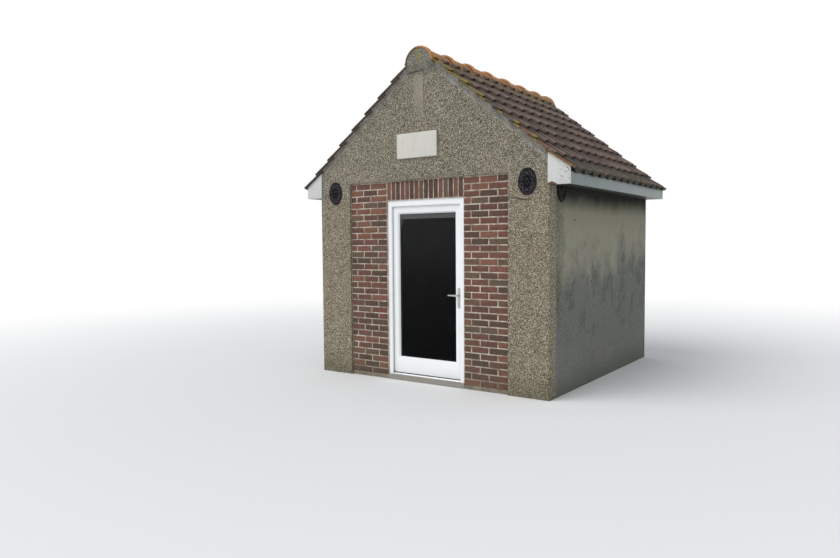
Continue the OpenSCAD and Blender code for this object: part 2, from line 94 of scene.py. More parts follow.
# %% [markdown]
# ## Surfaces from arrays
# A surface is a grid of points, worked out as one array. A thick sheet is two such grids, one for each
# side, and the strip that joins their free edges. An edge is free when only one quad uses it, so the same
# function closes a plain tile and a wall with a doorway in it.

# %% Grids and thick sheets
def grid_quads(rows, cols, ring=False):
    """Quads of a grid whose points are counted row by row; a ring joins its last column to its first."""
    r, c = np.meshgrid(np.arange(rows - 1), np.arange(cols if ring else cols - 1), indexing="ij")
    r, c, right = r.ravel(), c.ravel(), ((c + 1) % cols).ravel()
    return np.stack([r * cols + c, r * cols + right, (r + 1) * cols + right, (r + 1) * cols + c], axis=1)


def sheet_quads(quads, count):
    """Quads of a closed sheet: the front, the back turned over, and a strip along each free edge."""
    edges = np.concatenate([quads[:, [k, (k + 1) % 4]] for k in range(4)])
    key = np.sort(edges, axis=1)
    _, index, uses = np.unique(key, axis=0, return_index=True, return_counts=True)
    free = edges[index[uses == 1]]
    strip = np.stack([free[:, 1], free[:, 0], free[:, 0] + count, free[:, 1] + count], axis=1)
    return np.concatenate([quads, quads[:, ::-1] + count, strip])


def repeated(quads, count, copies):
    """The same quads for each of several copies of a shape that has count points."""
    return (quads[None] + np.arange(copies)[:, None, None] * count).reshape(-1, quads.shape[1])


# %% [markdown]
# A mesh becomes a piece when its doubles are merged, its faces point outwards and its smooth shading
# stops at the sharp edges. It then rides on one of the two bodies, the building or the door, and it may
# stand for solids of the frame, which are hidden.

# %% From points to a piece on its body
def settle(bm, mesh, sharp):
    """Turns the faces outwards and smooths them, except across edges sharper than the given angle."""
    bmesh.ops.recalc_face_normals(bm, faces=bm.faces)
    bm.to_mesh(mesh)
    bm.free()
    mesh.shade_smooth()
    mesh.set_sharp_from_angle(angle=radians(sharp))


def piece(name, points, quads, paint, slot, stands_for=(), body="building", sharp=38, marks=None):
    """Makes an object of points and faces, with one number a point for each attribute in marks."""
    mesh = bpy.data.meshes.new(name)
    mesh.from_pydata(np.asarray(points, float).reshape(-1, 3).tolist(), [], np.asarray(quads).tolist())
    for key, values in (marks or {}).items():
        layer = mesh.attributes.new(key, "FLOAT", "POINT")
        layer.data.foreach_set("value", np.asarray(values, np.float32).ravel())
    bm = bmesh.new()
    bm.from_mesh(mesh)
    bmesh.ops.remove_doubles(bm, verts=bm.verts, dist=1e-6)
    settle(bm, mesh, sharp)
    return join_scene(name, mesh, paint, stands_for, body)


def join_scene(name, mesh, paint, stands_for, body):
    """Puts a mesh in the scene on its body, in its finish."""
    obj = bpy.data.objects.new(name, mesh)
    bpy.context.scene.collection.objects.link(obj)
    mesh.materials.clear()
    mesh.materials.append(paint)
    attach(obj, body)
    if stands_for:
        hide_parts(*stands_for)
    print(f"{name}: {len(mesh.polygons)} faces")
    return obj


# %% [markdown]
# Nothing on a building is quite even. A few sine waves that run in seeded directions add up to a smooth
# unevenness, which is the same on every run. Long edges get their points from a list of places that have
# to be met, with even steps between them.

# %% Unevenness, and places along a line
def ripple(a, b, size, seed, waves=7):
    """Smooth unevenness from -1 to 1: the mean of sine waves of about one length, in seeded directions."""
    rng = np.random.default_rng(seed)
    turn = rng.uniform(0, pi, waves)
    phase = rng.uniform(0, 2 * pi, waves)
    scale = rng.uniform(0.6, 1.5, waves)
    total = 0
    for k in range(waves):
        total = total + np.sin((a * cos(turn[k]) + b * sin(turn[k])) * 2 * pi / size * scale[k] + phase[k])
    return total / waves


def stations(marks, step):
    """Places along a line that pass through every mark and are about one step apart."""
    spans = [np.linspace(a, b, max(2, round((b - a) / step) + 1)) for a, b in zip(marks[:-1], marks[1:])]
    return np.unique(np.concatenate(spans).round(6))


# %% [markdown]
# ## Softened copies
# Made things have no perfectly sharp edges. Where a solid has the right shape and only its edges are too
# hard, a copy is merged into whole flat faces and every edge sharper than 30 degrees is rounded by a real
# radius. The copy then stands for the solid. The solid itself isn't touched.

# %% A copy with rounded edges
def softened(node, radius, paint, body="building", steps=2, keep=None):
    """A copy of a CAD node with its edges rounded; keep says which edges stay as they are."""
    bm = bmesh.new()
    bm.from_mesh(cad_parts[node].data)
    bmesh.ops.remove_doubles(bm, verts=bm.verts, dist=1e-5)
    bmesh.ops.dissolve_limit(bm, angle_limit=radians(1), verts=bm.verts, edges=bm.edges)
    hard = [e for e in bm.edges if len(e.link_faces) == 2 and e.calc_face_angle() > radians(30)]
    if keep:
        hard = [e for e in hard if not keep(*[v.co for v in e.verts])]
    bmesh.ops.bevel(bm, geom=hard, offset=radius, offset_type="OFFSET", segments=steps, profile=0.5,
                    affect="EDGES", clamp_overlap=True)
    mesh = bpy.data.meshes.new(node + "_softened")
    settle(bm, mesh, 50)
    return join_scene(node + "_softened", mesh, paint, (node,), body)


# %% [markdown]
# ## Shader sums as plain sums
# A finish is a pattern worked out from where a point lies on the building. Blender draws such a pattern
# as nodes, and a sum of three terms already takes several of them. The class below wraps one socket, so
# that a sum in Python adds its own Math nodes. Every other node comes from one method, which makes the
# settings first.

# %% Sockets that add up
class Wire:
    """One socket of a node tree. Arithmetic on it adds Math nodes and gives a new Wire."""

    def __init__(self, tree, socket):
        self.tree, self.socket = tree, socket

    def math(self, operation, *values):
        """A Math node of this operation; its values are numbers or other wires."""
        return self.tree.node("Math", {"operation": operation}, dict(enumerate(values)))

    def __add__(self, other):
        return self.math("ADD", self, other)

    def __sub__(self, other):
        return self.math("SUBTRACT", self, other)

    def __rsub__(self, other):
        return self.math("SUBTRACT", other, self)

    def __mul__(self, other):
        return self.math("MULTIPLY", self, other)

    def __truediv__(self, other):
        return self.math("DIVIDE", self, other)

    def __pow__(self, other):
        return self.math("POWER", self, other)

    __radd__, __rmul__ = __add__, __mul__

    def size(self):
        """The number without its sign."""
        return self.math("ABSOLUTE", self)

    def least(self, other):
        """The smaller of two."""
        return self.math("MINIMUM", self, other)

    def most(self, other):
        """The larger of two."""
        return self.math("MAXIMUM", self, other)

    def fade(self, start, end):
        """0 up to start and 1 from end on, with a smooth change between; start may be the larger one."""
        values = {"Value": self, "From Min": start, "From Max": end, "To Min": 0.0, "To Max": 1.0}
        return self.tree.node("MapRange", {"interpolation_type": "SMOOTHSTEP"}, values)


# %% [markdown]
# The tree makes all nodes. Settings come before sockets, because a setting such as the kind of data can
# change which sockets a node uses.

# %% A tree that makes nodes
class Tree:
    """A node tree under construction: node() makes any node, its settings first and then its sockets."""

    def __init__(self, tree):
        self.tree = tree
        self.tree.nodes.clear()

    def node(self, kind, settings=None, values=None, out=0):
        """Makes a node and gives the output named out; a value is a number, a colour or a wire."""
        made = self.tree.nodes.new("ShaderNode" + kind)
        for key, value in (settings or {}).items():
            setattr(made, key, value)
        for key, value in (values or {}).items():
            if isinstance(value, Wire):
                self.tree.links.new(value.socket, made.inputs[key])
            else:
                made.inputs[key].default_value = value
        return Wire(self, made.outputs[out])


# %% [markdown]
# A colour is written the way a picture editor gives it, from 0 to 255, and turned into the linear numbers
# that shaders use.

# %% Colours
def tone(red, green, blue):
    """A colour from the 0 to 255 of a screen, as linear numbers with full opacity."""
    screen = np.array([red, green, blue]) / 255
    linear = np.where(screen <= 0.04045, screen / 12.92, ((screen + 0.055) / 1.055) ** 2.4)
    return (*linear.tolist(), 1.0)


# %% [markdown]
# All finishes of the building share a few tools: the place of the point, noise, cells for grit, a number
# stored on the points, a mix of two colours, and the closing shader with its bump.

# %% What every finish can do
class Paint(Tree):
    """A finish whose patterns read Object coordinates, which are metres on the building."""

    def __init__(self, name):
        self.material = bpy.data.materials.new(name)
        self.material.use_nodes = True
        super().__init__(self.material.node_tree)
        self.place = self.node("TexCoord", out="Object")
        self.x, self.y, self.z = (self.node("SeparateXYZ", values={0: self.place}, out=k) for k in range(3))

    def stretched(self, *scale):
        """The place with each axis scaled, which draws a noise out along the axis of the smallest scale."""
        return self.node("Mapping", {"vector_type": "POINT"}, {"Vector": self.place, "Scale": scale})

    def noise(self, scale, detail, rough, at=None):
        """An uneven field from 0 to 1, with about as many swells a metre as the scale says."""
        values = {"Vector": at or self.place, "Scale": scale, "Detail": detail, "Roughness": rough}
        return self.node("TexNoise", values=values)

    def cells(self, scale, out="Distance"):
        """Uneven cells: how far a point is from the middle of its cell, or the colour of that cell."""
        return self.node("TexVoronoi", {"feature": "F1"}, {"Vector": self.place, "Scale": scale}, out=out)

    def lot(self, scale):
        """A number from 0 to 1 that is the same all over one cell."""
        return self.node("SeparateXYZ", values={0: self.cells(scale, "Color")})

    def mark(self, name):
        """The number that each point of the mesh carries under this name."""
        return self.node("Attribute", {"attribute_name": name}, out="Fac")

    def mix(self, part, first, second):
        """Two colours mixed: the first where part is 0, the second where it is 1."""
        settings = {"data_type": "RGBA", "blend_type": "MIX", "clamp_factor": True}
        return self.node("Mix", settings, {0: part, 6: first, 7: second}, out=2)

    def close(self, color, roughness, height=None, depth=0.002, strength=0.6, **constants):
        """Ends the finish: a Principled shader, with a bump where a height from 0 to 1 is given."""
        values = {"Base Color": color, "Roughness": roughness}
        values.update({key.replace("_", " "): value for key, value in constants.items()})
        if height is not None:
            bump = {"Strength": strength, "Distance": depth, "Height": height}
            values["Normal"] = self.node("Bump", values=bump, out="Normal")
        self.show(self.node("BsdfPrincipled", values=values))
        return self.material

    def show(self, shader):
        """Makes a shader the surface of the material."""
        end = self.tree.nodes.new("ShaderNodeOutputMaterial")
        self.tree.links.new(shader.socket, end.inputs["Surface"])


# %% [markdown]
# ## The camera
# The photograph was taken from the right of the front, standing, at about eye height. The corners of the
# walls, the door and the eaves give the place of the camera, where it looks and how long its lens is.

# %% Camera at the photograph's place
EYE = (4.5622, -8.1731, 1.6846)
TURN, TILT, LEAN = radians(35.207), radians(-3.095), radians(-0.4396)
FOCAL_PIXELS, PHOTO_WIDTH, SENSOR = 672.49, 840, 36.0

look = np.array([-sin(TURN) * cos(TILT), cos(TURN) * cos(TILT), sin(TILT)])
level = np.array([cos(TURN), sin(TURN), 0.0])
above = np.cross(level, look)
side = cos(LEAN) * level + sin(LEAN) * above
up = cos(LEAN) * above - sin(LEAN) * level

lens = bpy.data.cameras.new("photo_camera")
lens.sensor_fit = "HORIZONTAL"
lens.sensor_width = SENSOR
lens.lens = FOCAL_PIXELS / PHOTO_WIDTH * SENSOR
lens.clip_end = 200
camera = bpy.data.objects.new("photo_camera", lens)
axes = np.stack([side, up, -look], 1).tolist()
camera.matrix_world = Matrix([[*row, place] for row, place in zip(axes, EYE)] + [[0, 0, 0, 1]])
bpy.context.scene.collection.objects.link(camera)
bpy.context.scene.camera = camera
print(f"lens {lens.lens:.2f} mm")

# %% [markdown]
# ## Light and floor
# The light of the photograph is that of an overcast day: it comes from all sides and from above, a little
# more of it from the front left, and shadows are soft. The world gives the even part and a wide sun gives
# the direction. Rays from the camera, through glass and off a shiny face meet plain white instead, so the
# picture has a clean background. The floor is pale and fades into that white.

# %% World and sun
EVEN_LIGHT = 0.62
SUN_LIGHT = 1.5

world = bpy.data.worlds.new("overcast")
world.use_nodes = True
bpy.context.scene.world = world
around = Tree(world.node_tree)
seen = around.node("LightPath", out="Is Camera Ray")
seen = seen.most(around.node("LightPath", out="Is Glossy Ray"))
seen = seen.most(around.node("LightPath", out="Is Transmission Ray"))
level_light = around.node("Background", values={"Color": tone(245, 249, 255), "Strength": EVEN_LIGHT})
backdrop = around.node("Background", values={"Color": (1.0, 1.0, 1.0, 1.0), "Strength": 1.0})
shown = around.node("MixShader", values={0: seen, 1: level_light, 2: backdrop})
world_end = around.tree.nodes.new("ShaderNodeOutputWorld")
around.tree.links.new(shown.socket, world_end.inputs["Surface"])

sun = bpy.data.lights.new("soft_sun", "SUN")
sun.energy = SUN_LIGHT
sun.angle = radians(50)
sun_object = bpy.data.objects.new("soft_sun", sun)
sun_object.rotation_euler = (radians(42), radians(-6), radians(-28))
bpy.context.scene.collection.objects.link(sun_object)
print(f"even light {EVEN_LIGHT}, sun {SUN_LIGHT}")

# %% Floor
FLOOR_REACH, FLOOR_DROP, FADE_START, FADE_END = 30.0, 0.001, 4.0, 13.0


def floor_paint():
    """Pale near the building; far away it is white to the camera and not there for other rays."""
    p = Paint("pale_floor")
    far = ((p.x * p.x + p.y * p.y) ** 0.5).fade(FADE_START, FADE_END)
    pale = p.node("BsdfDiffuse", values={"Color": tone(236, 236, 235)})
    white = p.node("Emission", values={"Color": (1.0, 1.0, 1.0, 1.0), "Strength": 1.0})
    gone = p.node("BsdfTransparent")
    beyond = p.node("MixShader", values={0: p.node("LightPath", out="Is Camera Ray"), 1: gone, 2: white})
    p.show(p.node("MixShader", values={0: far, 1: pale, 2: beyond}))
    return p.material


floor_mesh = bpy.data.meshes.new("floor")
corners = [(-1, -1), (1, -1), (1, 1), (-1, 1)]
corners = [(a * FLOOR_REACH, b * FLOOR_REACH, -FLOOR_DROP) for a, b in corners]
floor_mesh.from_pydata(corners, [], [(0, 1, 2, 3)])
floor_mesh.materials.append(floor_paint())
floor = bpy.data.objects.new("floor", floor_mesh)
bpy.context.scene.collection.objects.link(floor)
print(f"floor {2 * FLOOR_REACH:.0f} m wide")

# %% [markdown]
# ## The wall finish
# The front is pebble dash: small stones thrown on wet render, some cream, some nearly black. It runs
# about 160 mm round each corner, and from there the side walls and the rear have a smooth cement render.
# One finish works out all of it from the place of the point, so it runs on across the joint between two
# solids with no seam. Its parts share the same noises. A noise is an uneven field from 0 to 1 with a mean
# of a half, so adding a noise less a half to a height makes a straight border ragged.

# %% What the colours of the wall share
DASH_END = FRONT + 0.16
STONES, LARGE_STONES = 190.0, 110.0  # cells a metre


class Wall(Paint):
    """A finish with the noises, the stones and the height over the bed that all of its parts read."""

    def __init__(self, name):
        super().__init__(name)
        self.broad = self.noise(1.1, 5.0, 0.62)
        self.middle = self.noise(9.0, 4.0, 0.6)
        self.fine = self.noise(70.0, 3.0, 0.6)
        self.tide = self.noise(1.0, 2.0, 0.5, at=self.stretched(2.6, 2.6, 1.6))
        self.blotch = self.noise(4.2, 7.0, 0.72)
        self.small, self.large = self.lot(STONES), self.lot(LARGE_STONES)
        self.gap = self.cells(STONES)
        self.height = self.z + self.x.size() * tan(PITCH) - BED_APEX


# %% [markdown]
# Thrown stones could be modelled one by one, but there would be hundreds of thousands of them, each
# smaller than a dot of the picture. Cells do instead: every cell of the pattern draws a lot, and only a
# high or a low lot makes its stone cream or dark. The strip below the ridge was made good later and has
# fewer of them. A fine crack crosses the right pier beside the lintel.

# %% Pebble dash
MENDED_X, MENDED_HALF = -0.040, 0.072
CRACK_FROM, CRACK_TO = (1.096, 2.182), (1.358, 2.128)


def dash_colour(p):
    """Render with a mended strip, stones of two sizes, and a crack, where a line is less than 9 mm away."""
    colour = p.mix(p.broad.fade(0.35, 0.68), tone(116, 109, 92), tone(135, 127, 107))
    pier = (p.x.size() - HALF_PANEL).fade(-0.05, 0.05) * p.z.fade(PANEL_TOP + 0.1, PANEL_TOP - 0.3)
    colour = p.mix(pier * 0.55, colour, tone(132, 114, 88))
    colour = p.mix(p.middle.fade(0.5, 0.8) * 0.3, colour, tone(96, 92, 80))
    tall = p.z.fade(3.10, 3.38) * p.z.fade(3.71, 3.67)
    off = p.x - MENDED_X + (p.middle - 0.5) * 0.03
    mended = off.size().fade(MENDED_HALF + 0.015, MENDED_HALF - 0.015) * tall
    colour = p.mix(mended * 0.9, colour, tone(158, 150, 132))

    # Stones of two sizes, thrown at random: most are as the render, some cream, some dark
    bare = 1.0 - mended * 0.65
    colour = p.mix(p.small.fade(0.76, 0.82) * bare, colour, tone(208, 199, 177))
    colour = p.mix(p.small.fade(0.28, 0.22) * bare, colour, tone(58, 54, 48))
    colour = p.mix(p.large.fade(0.88, 0.93) * bare * 0.3, colour, tone(200, 194, 176))
    colour = p.mix(p.large.fade(0.13, 0.08) * bare * 0.35, colour, tone(58, 54, 48))
    colour = p.mix((off - MENDED_HALF).size().fade(0.010, 0.004) * tall * 0.5, colour, tone(62, 60, 54))

    # A fine crack across the right pier, beside the lintel
    fall = (CRACK_TO[1] - CRACK_FROM[1]) / (CRACK_TO[0] - CRACK_FROM[0])
    line = (p.z - p.x * fall + p.middle * 0.06 - (CRACK_FROM[1] - fall * CRACK_FROM[0] + 0.03)).size()
    line = line.fade(0.009, 0.003) * p.x.fade(CRACK_FROM[0] - 0.01, CRACK_FROM[0] + 0.01)
    colour = p.mix(line * p.x.fade(CRACK_TO[0] + 0.08, CRACK_TO[0]) * 0.8, colour, tone(52, 48, 42))
    return colour


# %% [markdown]
# The side walls have stood in splashing rain. Blue-grey stains rise from their foot to an uneven tide
# line, soot has settled under the eaves, where rain never washes it off, with painted shade of the eaves
# over it, and moss has started near the front corner. Each of these is a place where it may grow times a
# noise that breaks it up.

# %% Smooth render
SPOT_Y, SPOT_Z = FRONT + 0.674, 1.925


def cement_colour(p):
    """Olive grey, stains, grit, soot with painted eave shade, a mossy corner, a dark rear edge and one
    spot, in this order.
    """
    # Olive grey, greener above, with blue-grey stains up to the tide line
    colour = p.mix(p.middle, tone(149, 146, 128), tone(163, 160, 142))
    colour = p.mix(p.z.fade(1.6, 2.2) * 0.5, colour, tone(122, 122, 100))
    rise = (p.z + (p.tide - 0.5) * 1.1 + (p.blotch - 0.5) * 0.35 - p.y * 0.10).fade(1.72, 1.12)
    colour = p.mix(rise * (0.45 + p.blotch * 0.8).least(1.0), colour, tone(108, 110, 107))
    colour = p.mix(rise * p.blotch.fade(0.54, 0.40) * p.z.fade(0.3, 0.8) * 0.6, colour, tone(72, 76, 77))
    colour = p.mix(p.blotch.fade(0.50, 0.36) * p.z.fade(2.2, 1.7) * 0.22, colour, tone(96, 98, 88))

    # Pale and dark grit, and dirt that has run down from the verge
    colour = p.mix(p.small.fade(0.86, 0.91) * (0.18 + rise * 0.4), colour, tone(164, 164, 152))
    colour = p.mix(p.small.fade(0.16, 0.10) * 0.28, colour, tone(62, 64, 58))
    colour = p.mix(p.height.fade(-0.45, -0.02) * p.blotch.fade(0.3, 0.6) * 0.6, colour, tone(82, 85, 74))

    # Soot and painted shade under the eaves, on the side walls only
    aside = p.x.size().fade(HALF_WIDTH - 0.03, HALF_WIDTH - 0.005) * p.y.fade(REAR - 0.0005, REAR - 0.002)
    eave_soot_and_shade = (p.z + (p.tide - 0.5) * 0.14 + (p.blotch - 0.5) * 0.10).fade(SOFFIT - 0.30, SOFFIT - 0.04)
    colour = p.mix(eave_soot_and_shade * aside * 0.96, colour, tone(16, 20, 14))

    # Moss beside the front corner, a dark rear edge, and one spot
    corner = (p.y - FRONT + (p.middle - 0.5) * 0.16).fade(0.46, 0.20)
    corner = corner * p.z.fade(2.30, 1.9) * p.z.fade(0.5, 1.1)
    colour = p.mix(corner * p.fine.fade(0.36, 0.56) * 0.75, colour, tone(58, 66, 52))
    colour = p.mix(corner * p.small.fade(0.80, 0.86) * 0.5, colour, tone(176, 174, 158))
    rear_edge = (REAR - p.y + p.middle * 0.02).fade(0.045, 0.025)
    colour = p.mix(rear_edge * aside * 0.5, colour, tone(52, 56, 58))
    off_y, off_z = p.y - SPOT_Y, p.z - SPOT_Z
    spot = (off_y * off_y + off_z * off_z).fade(0.00022, 0.00012)
    colour = p.mix(spot * p.x.fade(0.0, 1.0), colour, tone(34, 32, 28))
    return colour


# %% [markdown]
# Under the tiles a band of smoother mortar follows the slope. Inside the room the walls are plastered. A
# point is inside when it lies no further out than the faces of the room, with 2 mm to spare.

# %% The whole wall
BAND = 0.065
PLASTER = 0.002


def within(distance):
    """1 where a distance is below 0, and 0 above it, over half a millimetre."""
    return distance.fade(0.0005, -0.0005)


def wall_paint(name):
    """Dash at the front, render elsewhere, the band under the tiles, and plaster in the room."""
    p = Wall(name)
    dash, cement = dash_colour(p), cement_colour(p)

    # The band has a ragged lower border and some of the stones in it
    ragged = p.height + (p.middle - 0.5) * 0.14 + (p.fine - 0.5) * 0.05
    band = ragged.fade(-BAND - 0.02, -BAND + 0.02) * p.z.fade(SOFFIT + 0.2, SOFFIT + 0.3)
    grey = p.mix(p.middle.fade(0.35, 0.7), tone(130, 126, 120), tone(158, 154, 148))
    grey = p.mix(p.small.fade(0.8, 0.86).most(p.small.fade(0.2, 0.14)) * 0.45, grey, dash)

    # Outside: render, dash and band, with a greener foot; inside: plaster
    rough = (p.y + p.fine * 0.03 + p.middle * 0.05).fade(DASH_END + 0.065, DASH_END + 0.025)
    outside = p.mix(band, p.mix(rough, cement, dash), grey)
    foot = (p.z + p.broad * 0.3).fade(0.5, 0.1)
    outside = p.mix(foot * 0.5, outside, tone(78, 80, 62))
    inside = within(p.x.size() - ROOM_HALF - PLASTER) * within(ROOM_FRONT - PLASTER - p.y)
    inside = inside * within(p.y - ROOM_REAR - PLASTER)
    plaster = p.mix(p.broad.fade(0.3, 0.7), tone(176, 172, 160), tone(150, 146, 134))

    # The bump: a dome for each stone, finer grain on the render, none in the room
    stone = (1.0 - p.gap * 1.5) * 0.7 + p.fine * 0.3
    rough = rough * (1.0 - band * 0.6)
    relief = stone * rough * (1.0 - inside) + (1.0 - rough) * (p.middle * 0.25 + p.fine * 0.12)
    return p.close(p.mix(inside, outside, plaster), 0.93, relief, depth=0.005, strength=0.55,
                   Specular_IOR_Level=0.25)


def dress(paint, *nodes):
    """Gives nodes of the frame a finish in place of the one they came with."""
    for node in nodes:
        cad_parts[node].data.materials.clear()
        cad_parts[node].data.materials.append(paint)
    print(f"{paint.name}: {', '.join(nodes)}")


dash_paint = wall_paint("pebble_dash_walls")
dress(wall_paint("smooth_render_walls"), "side_wall_left", "side_wall_right", "rear_wall", "rear_gable")

# %% [markdown]
# ## The front wall as one thrown coat
# The frame has the front as two piers and a gable. On the real building one coat of dash runs over all
# three, and its corners are rounded by the thickness of the stones. So the front is one sheet: columns
# across, rows up to the slope, and no quads where the brick panel is. Its depth is the rounding near a
# free edge and a hand's unevenness elsewhere.

# %% The dashed front
CORNER, FRONT_STEP, GABLE_ROWS = 0.010, 0.075, 21


def front_wall():
    """Across: x. Up: z to the panel's top, then equal parts to the bed. Depth: rounded edges + ripple."""
    marks = [-HALF_WIDTH, -HALF_WIDTH + CORNER * 0.3, -HALF_WIDTH + CORNER, -HALF_PANEL - CORNER,
             -HALF_PANEL - CORNER * 0.3, -HALF_PANEL]
    across = stations(marks + [0.0] + [-m for m in marks[::-1]], FRONT_STEP)
    low = stations([0.0, PANEL_TOP, PANEL_TOP + CORNER * 0.3, PANEL_TOP + CORNER], FRONT_STEP)
    parts = np.linspace(0, 1, GABLE_ROWS + 1)[1:]
    x = np.broadcast_to(across, (len(low) + len(parts), len(across)))
    top = bed(across) - low[-1]
    z = np.concatenate([np.repeat(low[:, None], len(across), 1), low[-1] + parts[:, None] * top[None]])
    beside = np.where(z < PANEL_TOP, np.abs(x) - HALF_PANEL, 1.0)
    over = np.hypot(np.maximum(np.abs(x) - HALF_PANEL, 0), z - PANEL_TOP)
    edge = np.minimum(HALF_WIDTH - np.abs(x), np.where(z < PANEL_TOP, beside, over)).clip(0, CORNER)
    rounding = CORNER - np.sqrt(CORNER ** 2 - (CORNER - edge) ** 2)
    y = FRONT + rounding + 0.0015 * (1 + ripple(x, z, 0.45, 11)) * (edge / CORNER)
    face = np.stack([x, y, z], -1)
    back = np.stack([x, np.full_like(x, ROOM_FRONT), z], -1)
    quads = grid_quads(*x.shape)
    middle = face.reshape(-1, 3)[quads].mean(1)
    quads = quads[~((np.abs(middle[:, 0]) < HALF_PANEL) & (middle[:, 2] < PANEL_TOP))]
    return np.concatenate([face.reshape(-1, 3), back.reshape(-1, 3)]), sheet_quads(quads, x.size)


def without_loose(points, quads):
    """Drops the points that no quad uses."""
    used, flat = np.unique(quads, return_inverse=True)
    return points[used], flat.reshape(quads.shape)


points, quads = without_loose(*front_wall())
piece("dashed_front", points, quads, dash_paint, "pebble_dash",
      ("front_pier_left", "front_pier_right", "front_gable"), sharp=30)

# %% [markdown]
# ## Bricks
# Each side of the door is filled with facing bricks in half bond, and sixteen bricks stand on end over
# the door. A flat wall with drawn lines would show no depth at the joints, so every brick is a small
# sheet with rounded edges, standing a few millimetres proud of its mortar. No two bricks have the same
# size, depth or colour: a number for each brick is stored on its points, and the finish reads it.

# %% One brick, many times
BRICK_DEEP, BRICK_RIM = 0.03, 0.003
edge_steps = np.array([-1.0, -0.965, -0.3, 0.35, 0.965, 1.0])
high_steps = np.array([-1.0, -0.9, 0.9, 1.0])


def brick_set(centres, sizes, seed):
    """A brick's front is a grid over width and height, curled back 3 mm at its rim; its back is flat."""
    rng = np.random.default_rng(seed)
    count = len(centres)
    u, v = np.meshgrid(edge_steps, high_steps)
    rim = np.maximum((np.abs(u) > 0.99) * 1.0, (np.abs(v) > 0.99) * 1.0)
    sizes = sizes - rng.uniform(0.0, 0.003, (count, 2))
    centres = centres + rng.normal(0, 0.0007, (count, 2))
    x = centres[:, 0, None, None] + u * sizes[:, 0, None, None] / 2
    z = centres[:, 1, None, None] + v * sizes[:, 1, None, None] / 2
    wear = rng.uniform(0, 0.0016, (count, *u.shape))
    y = BRICK_FACE + rim * BRICK_RIM + wear + rng.uniform(0, 0.0022, (count, 1, 1))
    face = np.stack([x, y, z], -1).reshape(count, -1, 3)
    back = face.copy()
    back[..., 1] = BRICK_FACE + BRICK_DEEP
    points = np.concatenate([face, back], 1)
    quads = repeated(sheet_quads(grid_quads(*u.shape), u.size), points.shape[1], count)
    shade = np.repeat(rng.uniform(0, 1, count), points.shape[1])
    return points.reshape(-1, 3), quads, shade


# %% Where the bricks lie
COURSE, BRICK_PITCH = 0.0767, 0.2265
JOINT, TOP_JOINT = 0.012, 0.009
SHORTEST, LOWEST = 0.04, 0.02


def bond(low, high, first_joint):
    """Stretchers in half bond between low and high: centres and sizes, cut where a brick meets an end."""
    rows = []
    for k in range(1, int(PANEL_TOP / COURSE) + 1):
        top = PANEL_TOP - TOP_JOINT - (k - 1) * COURSE
        bottom = max(top - COURSE, 0.0)
        if top - bottom < LOWEST:
            continue
        cuts = first_joint + (k % 2) * BRICK_PITCH / 2 + BRICK_PITCH * np.arange(-12, 13)
        cuts = np.concatenate([[low], cuts[(cuts > low + SHORTEST) & (cuts < high - SHORTEST)], [high]])
        for a, b in zip(cuts[:-1], cuts[1:]):
            rows.append([(a + b) / 2, (top + bottom) / 2, b - a - JOINT, top - bottom - JOINT])
    rows = np.array(rows)
    return rows[:, :2], rows[:, 2:]


def soldiers(count=16):
    """Bricks on end over the door, all of one width."""
    step = 2 * HALF_DOOR / count
    x = -HALF_DOOR + step * (np.arange(count) + 0.5)
    centres = np.stack([x, np.full(count, (PANEL_TOP + DOOR_TOP) / 2)], 1)
    return centres, np.tile([step - JOINT, PANEL_TOP - DOOR_TOP - JOINT], (count, 1))


# %% [markdown]
# The mortar is a second sheet behind the faces of the bricks, with a ripple of about a millimetre. It
# carries the full thickness of the wall, from the depth of the joints to the room, so it stands for the
# solid panel. The same finish, in other tones and with stones in it, serves for the mortar under the
# tiles.

# %% Brick and mortar finishes
def brick_paint():
    """One of four clay colours for each brick, then burnt and pale patches, dirt, and a greener foot."""
    p = Paint("facing_brick")
    shade = p.mark("shade")
    patchy = p.noise(26.0, 4.0, 0.65)
    grain = p.noise(240.0, 2.0, 0.6)
    colour = p.mix(shade.fade(0.1, 0.45), tone(82, 62, 53), tone(110, 72, 61))
    colour = p.mix(shade.fade(0.55, 0.75), colour, tone(128, 84, 68))
    colour = p.mix(shade.fade(0.8, 0.92), colour, tone(100, 82, 66))
    colour = p.mix(patchy.fade(0.52, 0.7) * 0.6, colour, tone(62, 51, 44))
    colour = p.mix(patchy.fade(0.42, 0.3) * 0.4, colour, tone(156, 114, 98))
    dirt = p.noise(2.2, 4.0, 0.6)
    colour = p.mix(dirt.fade(0.5, 0.75) * 0.45, colour, tone(88, 80, 68))
    colour = p.mix(p.z.fade(1.2, 0.0) * 0.25, colour, tone(84, 80, 62))
    return p.close(colour, 0.88, grain * 0.6 + patchy * 0.4, depth=0.002, strength=0.5)


def mortar_paint(name="joint_mortar", light=tone(212, 201, 184), dark=tone(148, 135, 118), stones=0.0):
    """Two tones in patches, dark sand, stones where they are asked for, and dirt at the foot of a wall."""
    p = Paint(name)
    patchy = p.noise(14.0, 4.0, 0.6)
    sand = p.noise(330.0, 2.0, 0.7)
    colour = p.mix(patchy.fade(0.32, 0.68), light, dark)
    colour = p.mix(sand.fade(0.62, 0.75) * 0.3, colour, tone(70, 66, 58))
    if stones:
        grit = p.lot(130.0)
        colour = p.mix(grit.fade(0.84, 0.90) * stones, colour, tone(196, 190, 174))
        colour = p.mix(grit.fade(0.20, 0.14) * stones, colour, tone(62, 58, 52))
    colour = p.mix(p.z.fade(0.35, 0.0) * 0.7, colour, tone(84, 80, 62))
    return p.close(colour, 0.95, sand * 0.7 + patchy * 0.6, depth=0.0025, strength=0.6)


brick_finish = brick_paint()
joint_finish = mortar_paint()

# %% The two panels and the lintel
JOINT_DEPTH, MORTAR_STEP = 0.0055, 0.03
JOINT_RIGHT, JOINT_LEFT = 0.65, -0.695


